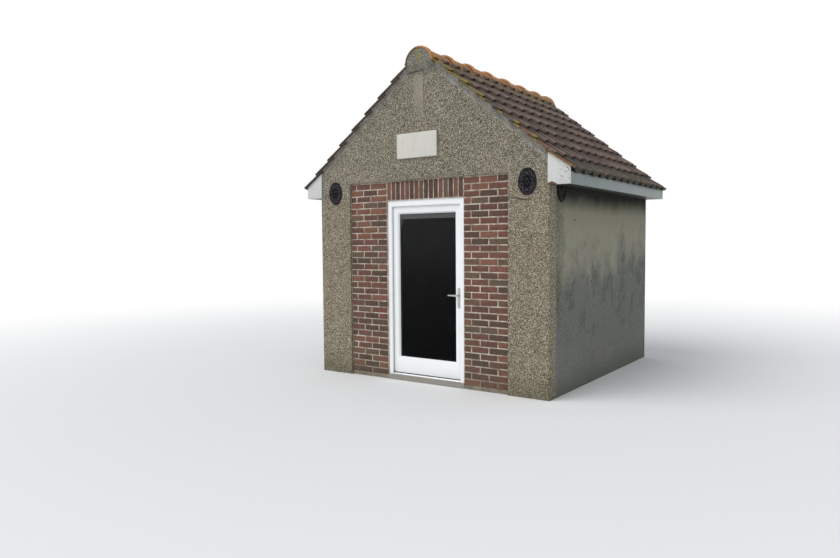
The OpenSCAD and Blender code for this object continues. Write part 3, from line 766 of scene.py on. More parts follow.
def mortar_sheet(x_low, x_high, z_low, z_high):
    """A flat grid at the depth of the joints, with 1 mm of ripple, closed at the face of the room."""
    x, z = np.meshgrid(stations([x_low, x_high], MORTAR_STEP), stations([z_low, z_high], MORTAR_STEP))
    y = BRICK_FACE + JOINT_DEPTH + 0.0008 * ripple(x, z, 0.09, 21)
    face = np.stack([x, y, z], -1).reshape(-1, 3)
    back = np.stack([x, np.full_like(x, ROOM_FRONT), z], -1).reshape(-1, 3)
    return np.concatenate([face, back]), sheet_quads(grid_quads(*x.shape), x.size)


panels = {
    "panel_left": ((-HALF_PANEL, -HALF_DOOR, 0.0, PANEL_TOP), bond(-HALF_PANEL, -HALF_DOOR, JOINT_LEFT),
                   "brick_panel_left"),
    "panel_right": ((HALF_DOOR, HALF_PANEL, 0.0, PANEL_TOP), bond(HALF_DOOR, HALF_PANEL, JOINT_RIGHT),
                    "brick_panel_right"),
    "lintel": ((-HALF_DOOR, HALF_DOOR, DOOR_TOP, PANEL_TOP), soldiers(), "brick_lintel"),
}
for seed, (name, (area, (centres, sizes), node)) in enumerate(panels.items(), 3):
    points, quads, shade = brick_set(centres, sizes, seed)
    piece(name + "_bricks", points, quads, brick_finish, "brick", marks={"shade": shade})
    piece(name + "_mortar", *mortar_sheet(*area), joint_finish, "brick", (node,))

# %% [markdown]
# ## Pantiles
# A pantile is an S across its width: a roll on one side and a hollow pan beside it. The roll of each tile
# laps over the raised edge of its neighbour. Every course lies over the head of the course below, which
# tips each tile a little flatter than the roof. So a tile is a profile across, carried up the slope, and
# lowered as it goes. Its roll gets narrower towards the head, which leaves the dark arch under the tip of
# every roll.

# %% Shape and place of the pantiles
TILE_GAUGE, TILE_STEP, TILE_COVER, TILE_THICK = 0.27, 0.022, 0.075, 0.013
TILE_WIDTH, TILE_LENGTH, VERGE_CUT = 0.286, 0.385, 0.026
COLUMNS, COURSES = 14, 9
TILE_PITCH = (2 * VERGE + VERGE_CUT - TILE_WIDTH) / (COLUMNS - 1)
COURSE_RUN = TILE_GAUGE * cos(PITCH)
TOP_LENGTH, TILE_PAN, TILE_TAPER, TIP_ROUND, ROLL_CREST = 0.2, 0.021, 0.26, 0.0035, 0.055

# Across the tile and up from the bed: the roll, the pan, and the edge that the next roll covers
tile_profile = [(0.0, 0.040), (0.012, 0.056), (0.026, 0.067), (0.040, 0.073), (ROLL_CREST, TILE_COVER),
                (0.078, 0.070), (0.104, 0.052), (0.135, 0.030), (0.175, TILE_PAN), (0.215, 0.022),
                (0.243, 0.030), (0.266, 0.042), (TILE_WIDTH, 0.049)]
tile_across, tile_height = np.array(tile_profile).T
tile_along = np.array([0.0, 0.006, 0.030, 1.0])


def on_slope(tip, s, h):
    """x and z of a point that is s up the slope from a tile tip and h above the bed."""
    drop = h - TILE_COVER
    crest = BED_APEX + TILE_COVER / cos(PITCH) - tan(PITCH) * tip
    return tip - s * cos(PITCH) + drop * sin(PITCH), crest + s * sin(PITCH) + drop * cos(PITCH)


def pantiles(side, seed):
    """Height = profile across - slope of the lap - taper to the head; the lower edge wanders a few mm."""
    rng = np.random.default_rng(seed)
    course, column = (a.ravel() for a in np.meshgrid(np.arange(COURSES), np.arange(COLUMNS), indexing="ij"))
    count = len(course)
    length = np.where(course == COURSES - 1, TOP_LENGTH, TILE_LENGTH)[:, None, None]
    part, t = np.meshgrid(tile_along, tile_across, indexing="ij")
    t = np.where(column[:, None, None] == 0, np.maximum(t, VERGE_CUT), t)
    s = np.where(part == 1.0, length, part)
    taper = 1.0 - TILE_TAPER * s / TILE_LENGTH
    height = TILE_PAN + (np.interp(t, tile_across, tile_height) - TILE_PAN) * taper
    height = height - TILE_STEP * s / TILE_GAUGE - TIP_ROUND * (part == 0)
    height = height - rng.uniform(0.0, 0.0035, (count, 1, 1))
    chips = rng.uniform(0, 0.007, (count, 1, len(tile_across))) * (part < 0.5)
    twist = rng.normal(0, 0.004, (count, 1, 1)) * (t - TILE_WIDTH / 2) / TILE_WIDTH
    s = s + rng.uniform(0, 0.007, (count, 1, 1)) + chips + twist
    y = -VERGE - VERGE_CUT + column[:, None, None] * TILE_PITCH + t
    y = (y + rng.normal(0, 0.0012, (count, 1, 1))).clip(-VERGE, VERGE)
    shell = []
    for h in (height, height - TILE_THICK):
        x, z = on_slope(EAVE - course[:, None, None] * COURSE_RUN, s, h)
        shell.append(np.stack([x * side, y * side, z], -1).reshape(count, -1, 3))
    points = np.concatenate(shell, 1)
    quads = repeated(sheet_quads(grid_quads(*part.shape), part.size), points.shape[1], count)
    return points.reshape(-1, 3), quads, np.repeat(rng.uniform(0, 1, count), points.shape[1])


# %% [markdown]
# On the real roof every tile has its own brown, the crests of the rolls carry a painted highlight, and the
# pans are darkened by dirt and by painted shade. So the clay reads the number of its tile and the height
# over the bed. Growth is laid over it where it belongs: olive beside the ridge, grey-green on the lowest
# course, yellow and orange lichen on the edge tiles over the front.

# %% Pantile finish
def tile_paint():
    """Clay by tile and by height over the bed, then growth by place, each broken up by a noise."""
    p = Paint("weathered_pantile")
    shade = p.mark("shade")
    patchy = p.noise(11.0, 5.0, 0.62)
    fine = p.noise(120.0, 3.0, 0.65)
    crust = p.noise(34.0, 4.0, 0.7)
    above = (p.z + p.x.size() * tan(PITCH) - BED_APEX) * cos(PITCH)
    colour = p.mix(shade, tone(108, 91, 85), tone(138, 118, 107))
    colour = p.mix(patchy.fade(0.5, 0.72) * 0.6, colour, tone(72, 64, 60))
    colour = p.mix(patchy.fade(0.44, 0.3) * 0.45, colour, tone(134, 116, 106))
    colour = p.mix(fine.fade(0.6, 0.72) * 0.4, colour, tone(140, 132, 118))
    # Dirt and painted shade in the pans, low over the bed; a painted highlight on the crests of the rolls
    colour = p.mix(above.fade(0.068, 0.034) * 0.75, colour, tone(56, 50, 45))
    colour = p.mix(above.fade(0.062, 0.074) * 0.40, colour, tone(158, 138, 126))

    # Olive growth beside the ridge
    near = (p.x.size() + (patchy - 0.5) * 0.3).fade(0.46, 0.28) * crust.fade(0.40, 0.56)
    colour = p.mix(near * 0.5, colour, tone(122, 108, 68))

    # Grey-green growth on the lowest course, where the roof stays wet, and dark lips on its tips
    wet = (p.z + (patchy - 0.5) * 0.3).fade(2.64, 2.47)
    colour = p.mix(wet * crust.fade(0.44, 0.52) * 0.85, colour, tone(66, 70, 58))
    colour = p.mix(wet * crust.fade(0.60, 0.66) * 0.6, colour, tone(138, 140, 124))
    lip = (p.x.size() + (crust - 0.5) * 0.03).fade(EAVE - 0.030, EAVE - 0.012)
    colour = p.mix(lip * above.fade(0.070, 0.052) * 0.7, colour, tone(44, 44, 38))

    # Lichen on the edge tiles over the front: yellow near the ridge, orange low down, bare between
    crown = p.z.fade(3.22, 3.36)
    edge = (p.y + (crust - 0.5) * 0.16 - crown * 0.03).fade(-1.640, -1.660) * p.x.fade(0.0, 0.1)
    low = p.z.fade(3.10, 2.80)
    clumps = p.noise(15.0, 3.0, 0.6)
    tips = p.x.math("FRACT", (EAVE - p.x) / COURSE_RUN).fade(0.46, 0.20)
    growth = p.mix((p.z + crust * 0.3).fade(3.05, 3.20), tone(152, 98, 68), tone(146, 132, 60))
    growth = p.mix(tips * clumps.fade(0.42, 0.50), growth, tone(166, 142, 48))
    growth = p.mix(fine.fade(0.50, 0.36) * 0.6, growth, tone(84, 72, 46))
    amount = edge * (crown * 0.85).most(low * 0.7).most(tips * clumps.fade(0.42, 0.54) * 0.9)
    amount = amount * crust.fade(0.38, 0.50) * clumps.fade(0.34, 0.44)
    colour = p.mix(amount, colour, growth)
    return p.close(colour, 0.82 + patchy * 0.12, fine * 0.5 + patchy * 0.5, depth=0.003, strength=0.5,
                   Specular_IOR_Level=0.3)


tile_finish = tile_paint()
for side, name, seed in ((1, "right", 31), (-1, "left", 47)):
    points, quads, shade = pantiles(side, seed)
    piece(f"pantiles_{name}", points, quads, tile_finish, "clay_tile", (f"tile_courses_{name}",),
          sharp=60, marks={"shade": shade})

# %% [markdown]
# ## Mortar under the verge
# Where the tiles pass over a gable they are bedded in mortar, which shows as a grey strip between the
# wall and the edge of the tiles. It follows the saw-tooth of the courses, dips where the tip of a roll
# leaves a hole, and its face bulges and is lumpy. Behind the face it drops away, so that it never shows
# through the tiles.

# %% Verge mortar
ROLL_UNDER, EDGE_UNDER, VERGE_FOOT = 0.052, 0.034, -0.030
TIP_HOLE, TIP_DIP, BACK_DROP = 0.05, 0.022, 0.035
verge_rise = np.array([0.0, 0.18, 0.55, 0.92, 1.0])
verge_proud = np.array([0.001, 0.008, 0.016, 0.022, 0.016])


def verge_strip(side, front):
    """Along: distance up the slope. Across: from the wall up to the tiles, at most 22 mm proud of it."""
    along = np.linspace((EAVE - HALF_WIDTH) / cos(PITCH), (EAVE - 0.10) / cos(PITCH), 260)[:, None]
    passed = np.mod(along, TILE_GAUGE)
    top = ROLL_UNDER if side * front < 0 else EDGE_UNDER
    top = top - TILE_STEP * passed / TILE_GAUGE - TIP_DIP * np.clip(1 - passed / TIP_HOLE, 0, 1)
    foot = VERGE_FOOT - 0.012 * ripple(along, along * 0, 0.33, 5)
    foot = foot - 0.005 * ripple(along, along * 0, 0.07, 6)
    h = foot + (top - foot) * verge_rise
    lump = 0.003 * ripple(along, h * 3, 0.11, 8) * (verge_rise > 0) * (verge_rise < 1)
    x, z = on_slope(EAVE, along, h)
    y = front * (REAR + verge_proud + lump)
    face = np.stack([x * side, y, z], -1).reshape(-1, 3)
    x, z = on_slope(EAVE, along, h - BACK_DROP)
    back = np.stack([x * side, np.full_like(x, front * (REAR - 0.05)), z], -1).reshape(-1, 3)
    return np.concatenate([face, back]), sheet_quads(grid_quads(*x.shape), x.size)


verge_finish = mortar_paint("verge_mortar", tone(144, 139, 131), tone(114, 110, 103), stones=0.4)
for front, end in ((-1, "front"), (1, "rear")):
    for side, name in ((1, "right"), (-1, "left")):
        piece(f"verge_mortar_{end}_{name}", *verge_strip(side, front), verge_finish, "mortar")

# %% [markdown]
# ## Ridge tiles
# The ridge is seven half-round clay tiles. Each has a raised collar at its front end that covers the tail
# of the one before, and its barrel gets narrower towards the tail. The shape is a radius that changes
# along the tile, turned over the ridge from leg to leg. The clay is orange, and lichen has settled on the
# collars.

# %% Ridge tiles
RIDGE_COUNT, RIDGE_START, RIDGE_THICK = 7, limit("ridge_tiles", LOW, Y), 0.016
RIDGE_PITCH = -2 * RIDGE_START / RIDGE_COUNT
COLLAR_RADIUS, NECK_RADIUS = 0.195, 0.177
AXIS_Z = limit("ridge_tiles", HIGH, Z) - COLLAR_RADIUS

# Distance along a tile and its radius there: the collar, then the barrel down to the tail. The last tile
# ends in a second collar instead.
collar_profile = [(0.0, 0.1895), (0.003, 0.1935), (0.010, COLLAR_RADIUS), (0.030, COLLAR_RADIUS),
                  (0.048, 0.1945), (0.055, 0.190), (0.060, 0.182), (0.066, NECK_RADIUS), (0.20, 0.1735)]
tail_profile = [(0.36, 0.169), (0.50, 0.165), (0.54, 0.1635)]
last_profile = [(0.422, 0.173), (0.433, COLLAR_RADIUS), (0.4886, 0.193)]


def ridge(turn_steps=28):
    """Point: s along the ridge, radius r(s) turned from leg to leg, with 1 mm of ripple; 16 mm thick."""
    turn = np.linspace(-radians(86), radians(86), turn_steps)
    rng = np.random.default_rng(61)
    sets, lots, collars = [], [], []
    for k in range(RIDGE_COUNT):
        s, r = np.array(collar_profile + (last_profile if k == RIDGE_COUNT - 1 else tail_profile)).T
        lift = rng.uniform(-0.002, 0.0, 2)
        grid_r = r[:, None] + 0.0008 * (ripple(s[:, None] + k, turn[None] * 0.18, 0.12, 9) - 1)
        y = RIDGE_START + k * RIDGE_PITCH + s[:, None] * np.ones_like(turn)
        shell = []
        for thick in (0.0, RIDGE_THICK):
            x = (grid_r - thick) * np.sin(turn) + lift[0]
            z = AXIS_Z + (grid_r - thick) * np.cos(turn) + lift[1]
            shell.append(np.stack([x, y, z], -1).reshape(-1, 3))
        sets.append(np.concatenate(shell))
        lots.append(np.full(len(sets[-1]), rng.uniform()))
        ends = np.repeat((r >= NECK_RADIUS) * 1.0, turn_steps)
        collars.append(np.concatenate([ends, ends]))
    quads = sheet_quads(grid_quads(len(s), turn_steps), len(s) * turn_steps)
    return (np.concatenate(sets), repeated(quads, len(sets[0]), RIDGE_COUNT), np.concatenate(lots),
            np.concatenate(collars))


# %% Clay of the ridge
def ridge_paint():
    """Orange clay, redder on the collars, with yellow lichen, grey patches and a dark front left edge."""
    p = Paint("ridge_clay")
    shade, collar = p.mark("shade"), p.mark("collar")
    patchy = p.noise(9.0, 5.0, 0.65)
    fine = p.noise(90.0, 3.0, 0.65)
    colour = p.mix(collar, tone(178, 126, 84), tone(214, 140, 88))
    colour = p.mix(patchy.fade(0.46, 0.6) * 0.6, colour, tone(166, 130, 66))
    colour = p.mix(p.noise(17.0, 4.0, 0.7).fade(0.55, 0.64) * 0.55, colour, tone(104, 92, 76))
    colour = p.mix(p.noise(6.0, 4.0, 0.7).fade(0.54, 0.60) * collar * 0.8, colour, tone(184, 152, 58))
    colour = p.mix(fine.fade(0.58, 0.7) * 0.35, colour, tone(218, 180, 144))
    colour = p.mix(shade * 0.25, colour, tone(130, 100, 80))
    shaded = p.y.fade(RIDGE_START + 0.06, RIDGE_START + 0.01) * p.x.fade(0.01, -0.06)
    colour = p.mix(shaded * 0.8, colour, tone(70, 66, 58))
    return p.close(colour, 0.85, fine * 0.6 + patchy * 0.4, depth=0.003, strength=0.5)


points, quads, shade, collar = ridge()
piece("ridge_tiles_turned", points, quads, ridge_paint(), "ridge_clay", ("ridge_tiles",),
      marks={"shade": shade, "collar": collar})

# %% [markdown]
# The ridge tiles lie in a bed of mortar that shows as a dark strip along their legs; its dark tones are
# partly painted shade under the ridge tiles. It dips into the pans of the top course and rises over its
# rolls, and lichen grows on it in clumps.

# %% The bed along the ridge
BED_START, BED_REACH, BED_THICK = 0.158, 0.203, 0.045
BED_LEG, BED_SWELL, BED_SUNK = AXIS_Z + 0.046, 0.007, 0.012
PAN_BED, ROLL_BED = 0.024, 0.030


def ridge_bed(side):
    """Along: y. Across: from the leg of a ridge tile down the slope, lower in the pans than over rolls."""
    y = np.linspace(-VERGE + 0.004, VERGE - 0.004, 260)[:, None]
    part = np.linspace(0, 1, 6)[None]
    reach = BED_REACH + 0.012 * ripple(y, y * 0, 0.24, 17) + 0.006 * ripple(y, y * 0, 0.06, 18)
    x = BED_START + (reach - BED_START) * part
    crest = -VERGE - VERGE_CUT + ROLL_CREST
    roll = 0.5 + 0.5 * np.cos(2 * pi * (side * y - crest) / TILE_PITCH)
    tiles = bed(x) + (PAN_BED + ROLL_BED * roll ** 2) / cos(PITCH) - BED_SUNK
    z = tiles * part + BED_LEG * (1 - part) + BED_SWELL * np.sin(pi * part)
    top = np.stack([x * side, y * np.ones_like(x), z], -1).reshape(-1, 3)
    return np.concatenate([top, top - [0, 0, BED_THICK]]), sheet_quads(grid_quads(*x.shape), x.size)


def ridge_bed_paint():
    """Mortar dark in part as painted shade, with clumps of olive and orange lichen, most of them where a
    collar keeps it damp.
    """
    p = Paint("ridge_bedding")
    crust = p.noise(30.0, 4.0, 0.7)
    clumps = p.noise(9.0, 3.0, 0.6)
    # Dark tones: partly the mortar, partly painted shade under the ridge tiles
    colour = p.mix(crust.fade(0.4, 0.6), tone(74, 68, 54), tone(104, 94, 68))
    colour = p.mix(clumps.fade(0.46, 0.56) * crust.fade(0.40, 0.52) * 0.8, colour, tone(168, 128, 62))
    return p.close(colour, 0.93, crust, depth=0.004, strength=0.6)


bed_finish = ridge_bed_paint()
for side, name in ((1, "right"), (-1, "left")):
    piece(f"ridge_bed_{name}", *ridge_bed(side), bed_finish, "mortar")

# %% [markdown]
# The open ends of the ridge are closed with the same mortar. It fills the half round of the collar, and
# from there it falls back to the face of the gable, downwards and to both sides. That fall is one smooth
# step, used twice.

# %% Mortar in the ends of the ridge
END_RADIUS, END_LOW, END_PROUD = 0.1745, AXIS_Z - 0.115, 0.052
END_CRACK_Z = 3.692


def smooth(v):
    """0 below 0, 1 above 1, and the smooth step 3v^2 - 2v^3 between."""
    v = np.clip(v, 0, 1)
    return v * v * (3 - 2 * v)


def ridge_end(front):
    """Half width: the collar's circle, wider below its axis. Depth: proud x fall down x fall sideways."""
    z = np.linspace(END_LOW, AXIS_Z + END_RADIUS, 34)[:, None]
    under = np.clip((AXIS_Z - z) / 0.08, 0, 1)
    half = np.sqrt(np.maximum(END_RADIUS ** 2 - np.maximum(z - AXIS_Z, 0) ** 2, 0)) + 0.040 * under
    x = np.linspace(-1, 1, 45)[None] * half
    sides = 1 - under * (1 - smooth((half - np.abs(x)) / 0.07))
    proud = END_PROUD * smooth((z - END_LOW) / 0.12) * sides + 0.0015 * (1 + ripple(x, z, 0.06, 71))
    face = np.stack([x, front * (REAR + proud), z * np.ones_like(x)], -1).reshape(-1, 3)
    back = face * [1, 0, 1] + [0, front * (REAR - 0.02), 0]
    return np.concatenate([face, back]), sheet_quads(grid_quads(*x.shape), x.size)


# %% Finish of the ends
def ridge_end_paint():
    """As rough as the wall, with a streak of lichen down the middle and a crack along the foot."""
    p = Paint("ridge_end_mortar")
    middle = p.noise(12.0, 4.0, 0.6)
    fine = p.noise(110.0, 3.0, 0.65)
    grit = p.lot(125.0)
    colour = p.mix(middle.fade(0.35, 0.65), tone(112, 108, 97), tone(136, 130, 117))
    colour = p.mix(grit.fade(0.82, 0.88) * 0.6, colour, tone(190, 184, 168))
    colour = p.mix(grit.fade(0.18, 0.12) * 0.7, colour, tone(66, 62, 54))
    streak = (p.x + 0.015 + (middle - 0.5) * 0.08).size().fade(0.040, 0.015) * p.z.fade(3.74, 3.80)
    colour = p.mix(streak * fine.fade(0.4, 0.52) * 0.7, colour, tone(140, 131, 58))
    crack = (p.z - p.x * 0.10 - END_CRACK_Z + (middle - 0.5) * 0.04).size().fade(0.009, 0.004)
    colour = p.mix(crack * p.x.fade(0.05, 0.02) * 0.75, colour, tone(46, 44, 38))
    return p.close(colour, 0.94, grit * 0.5 + fine * 0.5, depth=0.004, strength=0.7)


ends = [ridge_end(front) for front in (-1, 1)]
piece("ridge_end_mortar", np.concatenate([e[0] for e in ends]), repeated(ends[0][1], len(ends[0][0]), 2),
      ridge_end_paint(), "mortar", ("ridge_mortar",), sharp=60)

# %% [markdown]
# ## Cast oval plates
# Two black cast plates carry the ends of the tie irons on the front, and two more hang under the eaves.
# The face of such a casting is a low relief: curled scrolls around a boss, inside a rim. Here it is a
# height over a disc. A scroll is a line that winds in on itself, and its height is a round bead: the
# square root of one less the square of the distance to that line, over the half width of the scroll.

# %% Height of the castings
PLATE_LOW, PLATE_HIGH = (np.array(corner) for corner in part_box("oval_plate_right"))
PLATE_HALF_WIDTH, _, PLATE_HALF_HEIGHT = ((PLATE_HIGH - PLATE_LOW) / 2).tolist()
PLATE_X, _, PLATE_Z = ((PLATE_HIGH + PLATE_LOW) / 2).tolist()
PLATE_THICK = 0.008
SIDE_PLATE_Y = (limit("side_plate_right", LOW, Y) + limit("side_plate_right", HIGH, Y)) / 2
SIDE_PLATE_Z = limit("side_plate_right", LOW, Z) + PLATE_HALF_HEIGHT
SCROLLS, SCROLL_SIZE, SCROLL_PLACE = 8, 0.029, 0.5936


def scroll_lines():
    """Middle lines of the scrolls, mirrored in turn: the reach shrinks as a line winds by 400 degrees."""
    t = np.linspace(0, 1, 34)
    reach, spin = SCROLL_SIZE * (1 - 0.80 * t), radians(400) * t - radians(100)
    lines = []
    for k in range(SCROLLS):
        turn = (k + 0.5) * 2 * pi / SCROLLS
        wind = turn + spin * (1 if k % 2 else -1)
        lines.append([SCROLL_PLACE * PLATE_HALF_WIDTH * cos(turn) + reach * np.cos(wind),
                      SCROLL_PLACE * PLATE_HALF_HEIGHT * sin(turn) + reach * np.sin(wind)])
    half = np.tile(SCROLL_SIZE * (0.22 - 0.08 * t), SCROLLS)
    return np.array(lines).transpose(0, 2, 1).reshape(-1, 2), half


def relief(part, turn):
    """Height over the plate: the largest of rim, scrolls, leaves, beads and boss; part is 1 at the edge."""
    lines, half = scroll_lines()
    place = np.stack([part * np.cos(turn) * PLATE_HALF_WIDTH, part * np.sin(turn) * PLATE_HALF_HEIGHT], -1)
    away = np.linalg.norm(place[:, :, None] - lines, axis=-1) / half
    scrolls = 0.0048 * np.sqrt(np.clip(1 - away.min(-1) ** 2, 0, 1))
    rim = 0.0080 * smooth((part - 0.855) / 0.03) * smooth((0.995 - part) / 0.03)
    inner = 0.0032 * smooth((part - 0.80) / 0.02)
    leaves = 0.0042 * np.clip(np.cos(8 * turn), 0, 1) * np.exp(-((part - 0.66) / 0.09) ** 2)
    beads = 0.0034 * np.clip(np.cos(16 * turn), 0, 1) * np.exp(-((part - 0.30) / 0.030) ** 2)
    boss = 0.0098 * np.sqrt(np.clip(1 - (part / 0.19) ** 2, 0, 1)) + 0.0030 * smooth((0.26 - part) / 0.025)
    return np.maximum.reduce([rim, inner * (part < 0.99), scrolls, leaves, beads, boss])


# %% [markdown]
# The disc is a grid of rings and spokes. Its outer ring comes once more at the wall, which makes the rim,
# and one flat face closes the back. The plates under the eaves are cut off where the soffit hides them.

# %% A plate from rings and spokes
def oval_plate(node, centre, along, out, cut=None):
    """A disc of rings as wide as the node, lifted by the relief, closed by its rim and a flat back."""
    part = np.concatenate([np.linspace(0.0, 0.84, 56), np.linspace(0.855, 1.0, 13)])
    turn = np.linspace(0, 2 * pi, 208, endpoint=False)
    r, a = np.meshgrid(part, turn, indexing="ij")
    centre, along, out = (np.array(v, float) for v in (centre, along, out))
    flat = centre + (r * np.cos(a) * PLATE_HALF_WIDTH)[..., None] * along
    flat = flat + (r * np.sin(a) * PLATE_HALF_HEIGHT)[..., None] * np.array([0, 0, 1.0])
    lift = relief(r, a)
    face = flat + (PLATE_THICK + lift)[..., None] * out
    points = np.concatenate([face, flat[-1:]]).reshape(-1, 3)
    quads = grid_quads(len(part) + 1, len(turn), ring=True)
    back = np.arange(len(turn)) + r.size
    mesh = bpy.data.meshes.new(node + "_cast")
    mesh.from_pydata(points.tolist(), [], quads.tolist() + [back.tolist()])
    layer = mesh.attributes.new("height", "FLOAT", "POINT")
    layer.data.foreach_set("value", np.append(lift, np.zeros(len(turn))).astype(np.float32))
    bm = bmesh.new()
    bm.from_mesh(mesh)
    bmesh.ops.remove_doubles(bm, verts=bm.verts, dist=1e-6)
    if cut is not None:
        everything = bm.verts[:] + bm.edges[:] + bm.faces[:]
        found = bmesh.ops.bisect_plane(bm, geom=everything, plane_co=(0, 0, cut), plane_no=(0, 0, 1),
                                       clear_outer=True)
        rims = [g for g in found["geom_cut"] if isinstance(g, bmesh.types.BMEdge)]
        bmesh.ops.edgeloop_fill(bm, edges=rims)
    settle(bm, mesh, 45)
    return join_scene(node + "_cast", mesh, iron_finish, (node,), "building")


# %% Black paint and the four plates
def iron_paint():
    """Black paint; a painted highlight, partly wear, greys what stands out on the front plates, which the
    height mark tells.
    """
    p = Paint("black_cast_iron")
    worn = p.noise(38.0, 4.0, 0.65)
    grain = p.noise(260.0, 2.0, 0.6)
    colour = p.mix(worn.fade(0.45, 0.7), tone(5, 5, 7), tone(15, 14, 15))
    height = p.mark("height")
    # Painted highlight, partly wear, on the mid-height relief of the front plates; the side plates stay
    # black
    raised_highlight_and_wear = height.fade(0.0026, 0.0044) * height.fade(0.0082, 0.0066) * worn.fade(0.36, 0.48)
    raised_highlight_and_wear = raised_highlight_and_wear * p.y.fade(FRONT + 0.05, FRONT + 0.01)
    colour = p.mix(raised_highlight_and_wear * 0.8, colour, tone(94, 91, 98))
    colour = p.mix(worn.fade(0.68, 0.76) * 0.4, colour, tone(78, 56, 42))
    return p.close(colour, 0.34 + worn * 0.25, grain, depth=0.0006, strength=0.4, Specular_IOR_Level=0.12)


iron_finish = iron_paint()
for side, name in ((1, "right"), (-1, "left")):
    oval_plate(f"oval_plate_{name}", (side * PLATE_X, FRONT, PLATE_Z), (1, 0, 0), (0, -1, 0))
    oval_plate(f"side_plate_{name}", (side * HALF_WIDTH, SIDE_PLATE_Y, SIDE_PLATE_Z), (0, 1, 0),
               (side, 0, 0), cut=SOFFIT - 0.0005)

# %% [markdown]
# ## Plastic boards, plaque and door
# The eaves are closed with white and grey plastic boards, which have thin rounded edges. Over the years
# they have gathered black mould in specks, and one end is broken at its lowest corner, where rust shows.
# The boards at the ends reach up into the rolls of the edge tiles, so the tops of their copies are raised
# to meet them.

# %% Plastics
MOULD_X, MOULD_Z = 1.80, 2.39
RUST_X, RUST_Z = 1.645, 2.283
TOP_PLAY = 0.012


def white_paint(name, base, grime=tone(186, 188, 182), film_share=0.35, mould=0.0):
    """Plastic under a film of grime; with mould it also has specks and, at one front corner, rust."""
    p = Paint(name)
    film = p.noise(3.0, 4.0, 0.6)
    fine = p.noise(45.0, 3.0, 0.6)
    colour = p.mix(film.fade(0.45, 0.75) * film_share, base, grime)
    if mould:
        specks = p.noise(74.0, 1.0, 0.5).fade(0.60, 0.65)
        where = (p.x - MOULD_X).size().fade(0.10, 0.05) * (p.z - MOULD_Z).size().fade(0.10, 0.05)
        colour = p.mix(specks * (where * mould).most(0.10), colour, tone(34, 32, 30))
        rust = (p.x - RUST_X).size() + (p.z - RUST_Z).size() * 2.2 + fine * 0.03
        colour = p.mix(rust.fade(0.082, 0.068) * p.y.fade(0.0, -1.0), colour, tone(92, 58, 42))
    return p.close(colour, 0.38 + film * 0.12, fine, depth=0.0006, strength=0.25)


# The soffits are painted nearly black: grime, and painted shade under the eaves
soffit_grime_and_shade_finish = white_paint("soffit_grime_and_painted_shade", tone(42, 44, 39), tone(30, 32, 28))
door_white = white_paint("white_door_plastic", tone(252, 253, 253), film_share=0.08)
end_finish = white_paint("white_box_end", tone(214, 215, 210), mould=1.0)
grey_finish = white_paint("grey_fascia_plastic", tone(133, 143, 141), tone(104, 114, 108))

box_ends = softened("eave_box_ends", 0.0015, end_finish)
places = np.array([v.co[:] for v in box_ends.data.vertices])
roll_edge = places[:, X] * places[:, Y] < 0
rise = (np.where(roll_edge, ROLL_UNDER, EDGE_UNDER) - TOP_PLAY) / cos(PITCH)
places[:, Z] += rise * (places[:, Z] > bed(places[:, X]) - TOP_PLAY)
box_ends.data.vertices.foreach_set("co", places.ravel())
for name in ("left", "right"):
    softened(f"soffit_{name}", 0.0015, soffit_grime_and_shade_finish)
    softened(f"fascia_{name}", 0.0025, grey_finish)

# %% [markdown]
# The plaque on the gable is a pale slab, left bare. Rain has drawn faint runs down it. A noise that is
# squeezed across and drawn out in height gives such runs.

# %% Plaque
def plaque_paint():
    """Two pale tones in clouds, with faint brown runs."""
    p = Paint("pale_plaque")
    cloud = p.noise(7.0, 4.0, 0.6)
    fine = p.noise(160.0, 3.0, 0.6)
    drip = p.noise(1.0, 3.0, 0.5, at=p.stretched(40.0, 40.0, 3.0))
    colour = p.mix(cloud, tone(222, 219, 209), tone(205, 202, 192))
    colour = p.mix(drip.fade(0.55, 0.75) * 0.25, colour, tone(168, 162, 146))
    return p.close(colour, 0.6, fine, depth=0.0008, strength=0.3)


softened("gable_plaque", 0.004, plaque_paint(), steps=3)

# %% [markdown]
# The door is a white plastic profile: a frame that its leaf closes behind, a leaf with a wide sash, a
# sloping bead around the glass, and black rubber seals between them. The seals are thin, but without them
# the white pieces would melt into each other, because the light on them is nearly the same.

# %% Door, frame and seals
FRAME_FOOT = 0.07
softened("door_frame", 0.003, door_white, keep=lambda a, b: max(a.z, b.z) < FRAME_FOOT)
softened("door_leaf", 0.003, door_white, "door")
softened("glazing_bead", 0.0015, door_white, "door")


def loop_strip(x, z_low, z_high, profile):
    """A closed profile of (inset, y) pairs carried round a rectangle, with mitred corners."""
    inset, y = np.array(profile, float).T
    corners = np.array([(-1, z_low, 1), (1, z_low, 1), (1, z_high, -1), (-1, z_high, -1)], float)
    px = corners[:, 0, None] * (x - inset)
    pz = corners[:, 1, None] + corners[:, 2, None] * inset
    points = np.stack([px, np.broadcast_to(y, px.shape), pz], -1)
    rows, cols = px.shape
    quads = grid_quads(rows + 1, cols, ring=True) % (rows * cols)
    return points.reshape(-1, 3), quads


def rubber_paint():
    """Black with a little dust."""
    p = Paint("black_rubber")
    dust = p.noise(60.0, 3.0, 0.6)
    return p.close(p.mix(dust, tone(24, 24, 25), tone(46, 46, 46)), 0.6 + dust * 0.2)


rubber_finish = rubber_paint()
LEAF_FACE, GLASS_FACE, GLASS_TOP = (limit("door_leaf", LOW, Y), limit("door_glass", LOW, Y),
                                    limit("door_glass", HIGH, Z))
GLASS_LAP = 0.002
GLASS_X = limit("door_glass", HIGH, X) + GLASS_LAP
GLASS_LOW, GLASS_HIGH = limit("door_glass", LOW, Z) - GLASS_LAP, GLASS_TOP + GLASS_LAP
STOP_X, STOP_LOW, STOP_HIGH = 0.490, 0.083, 2.125

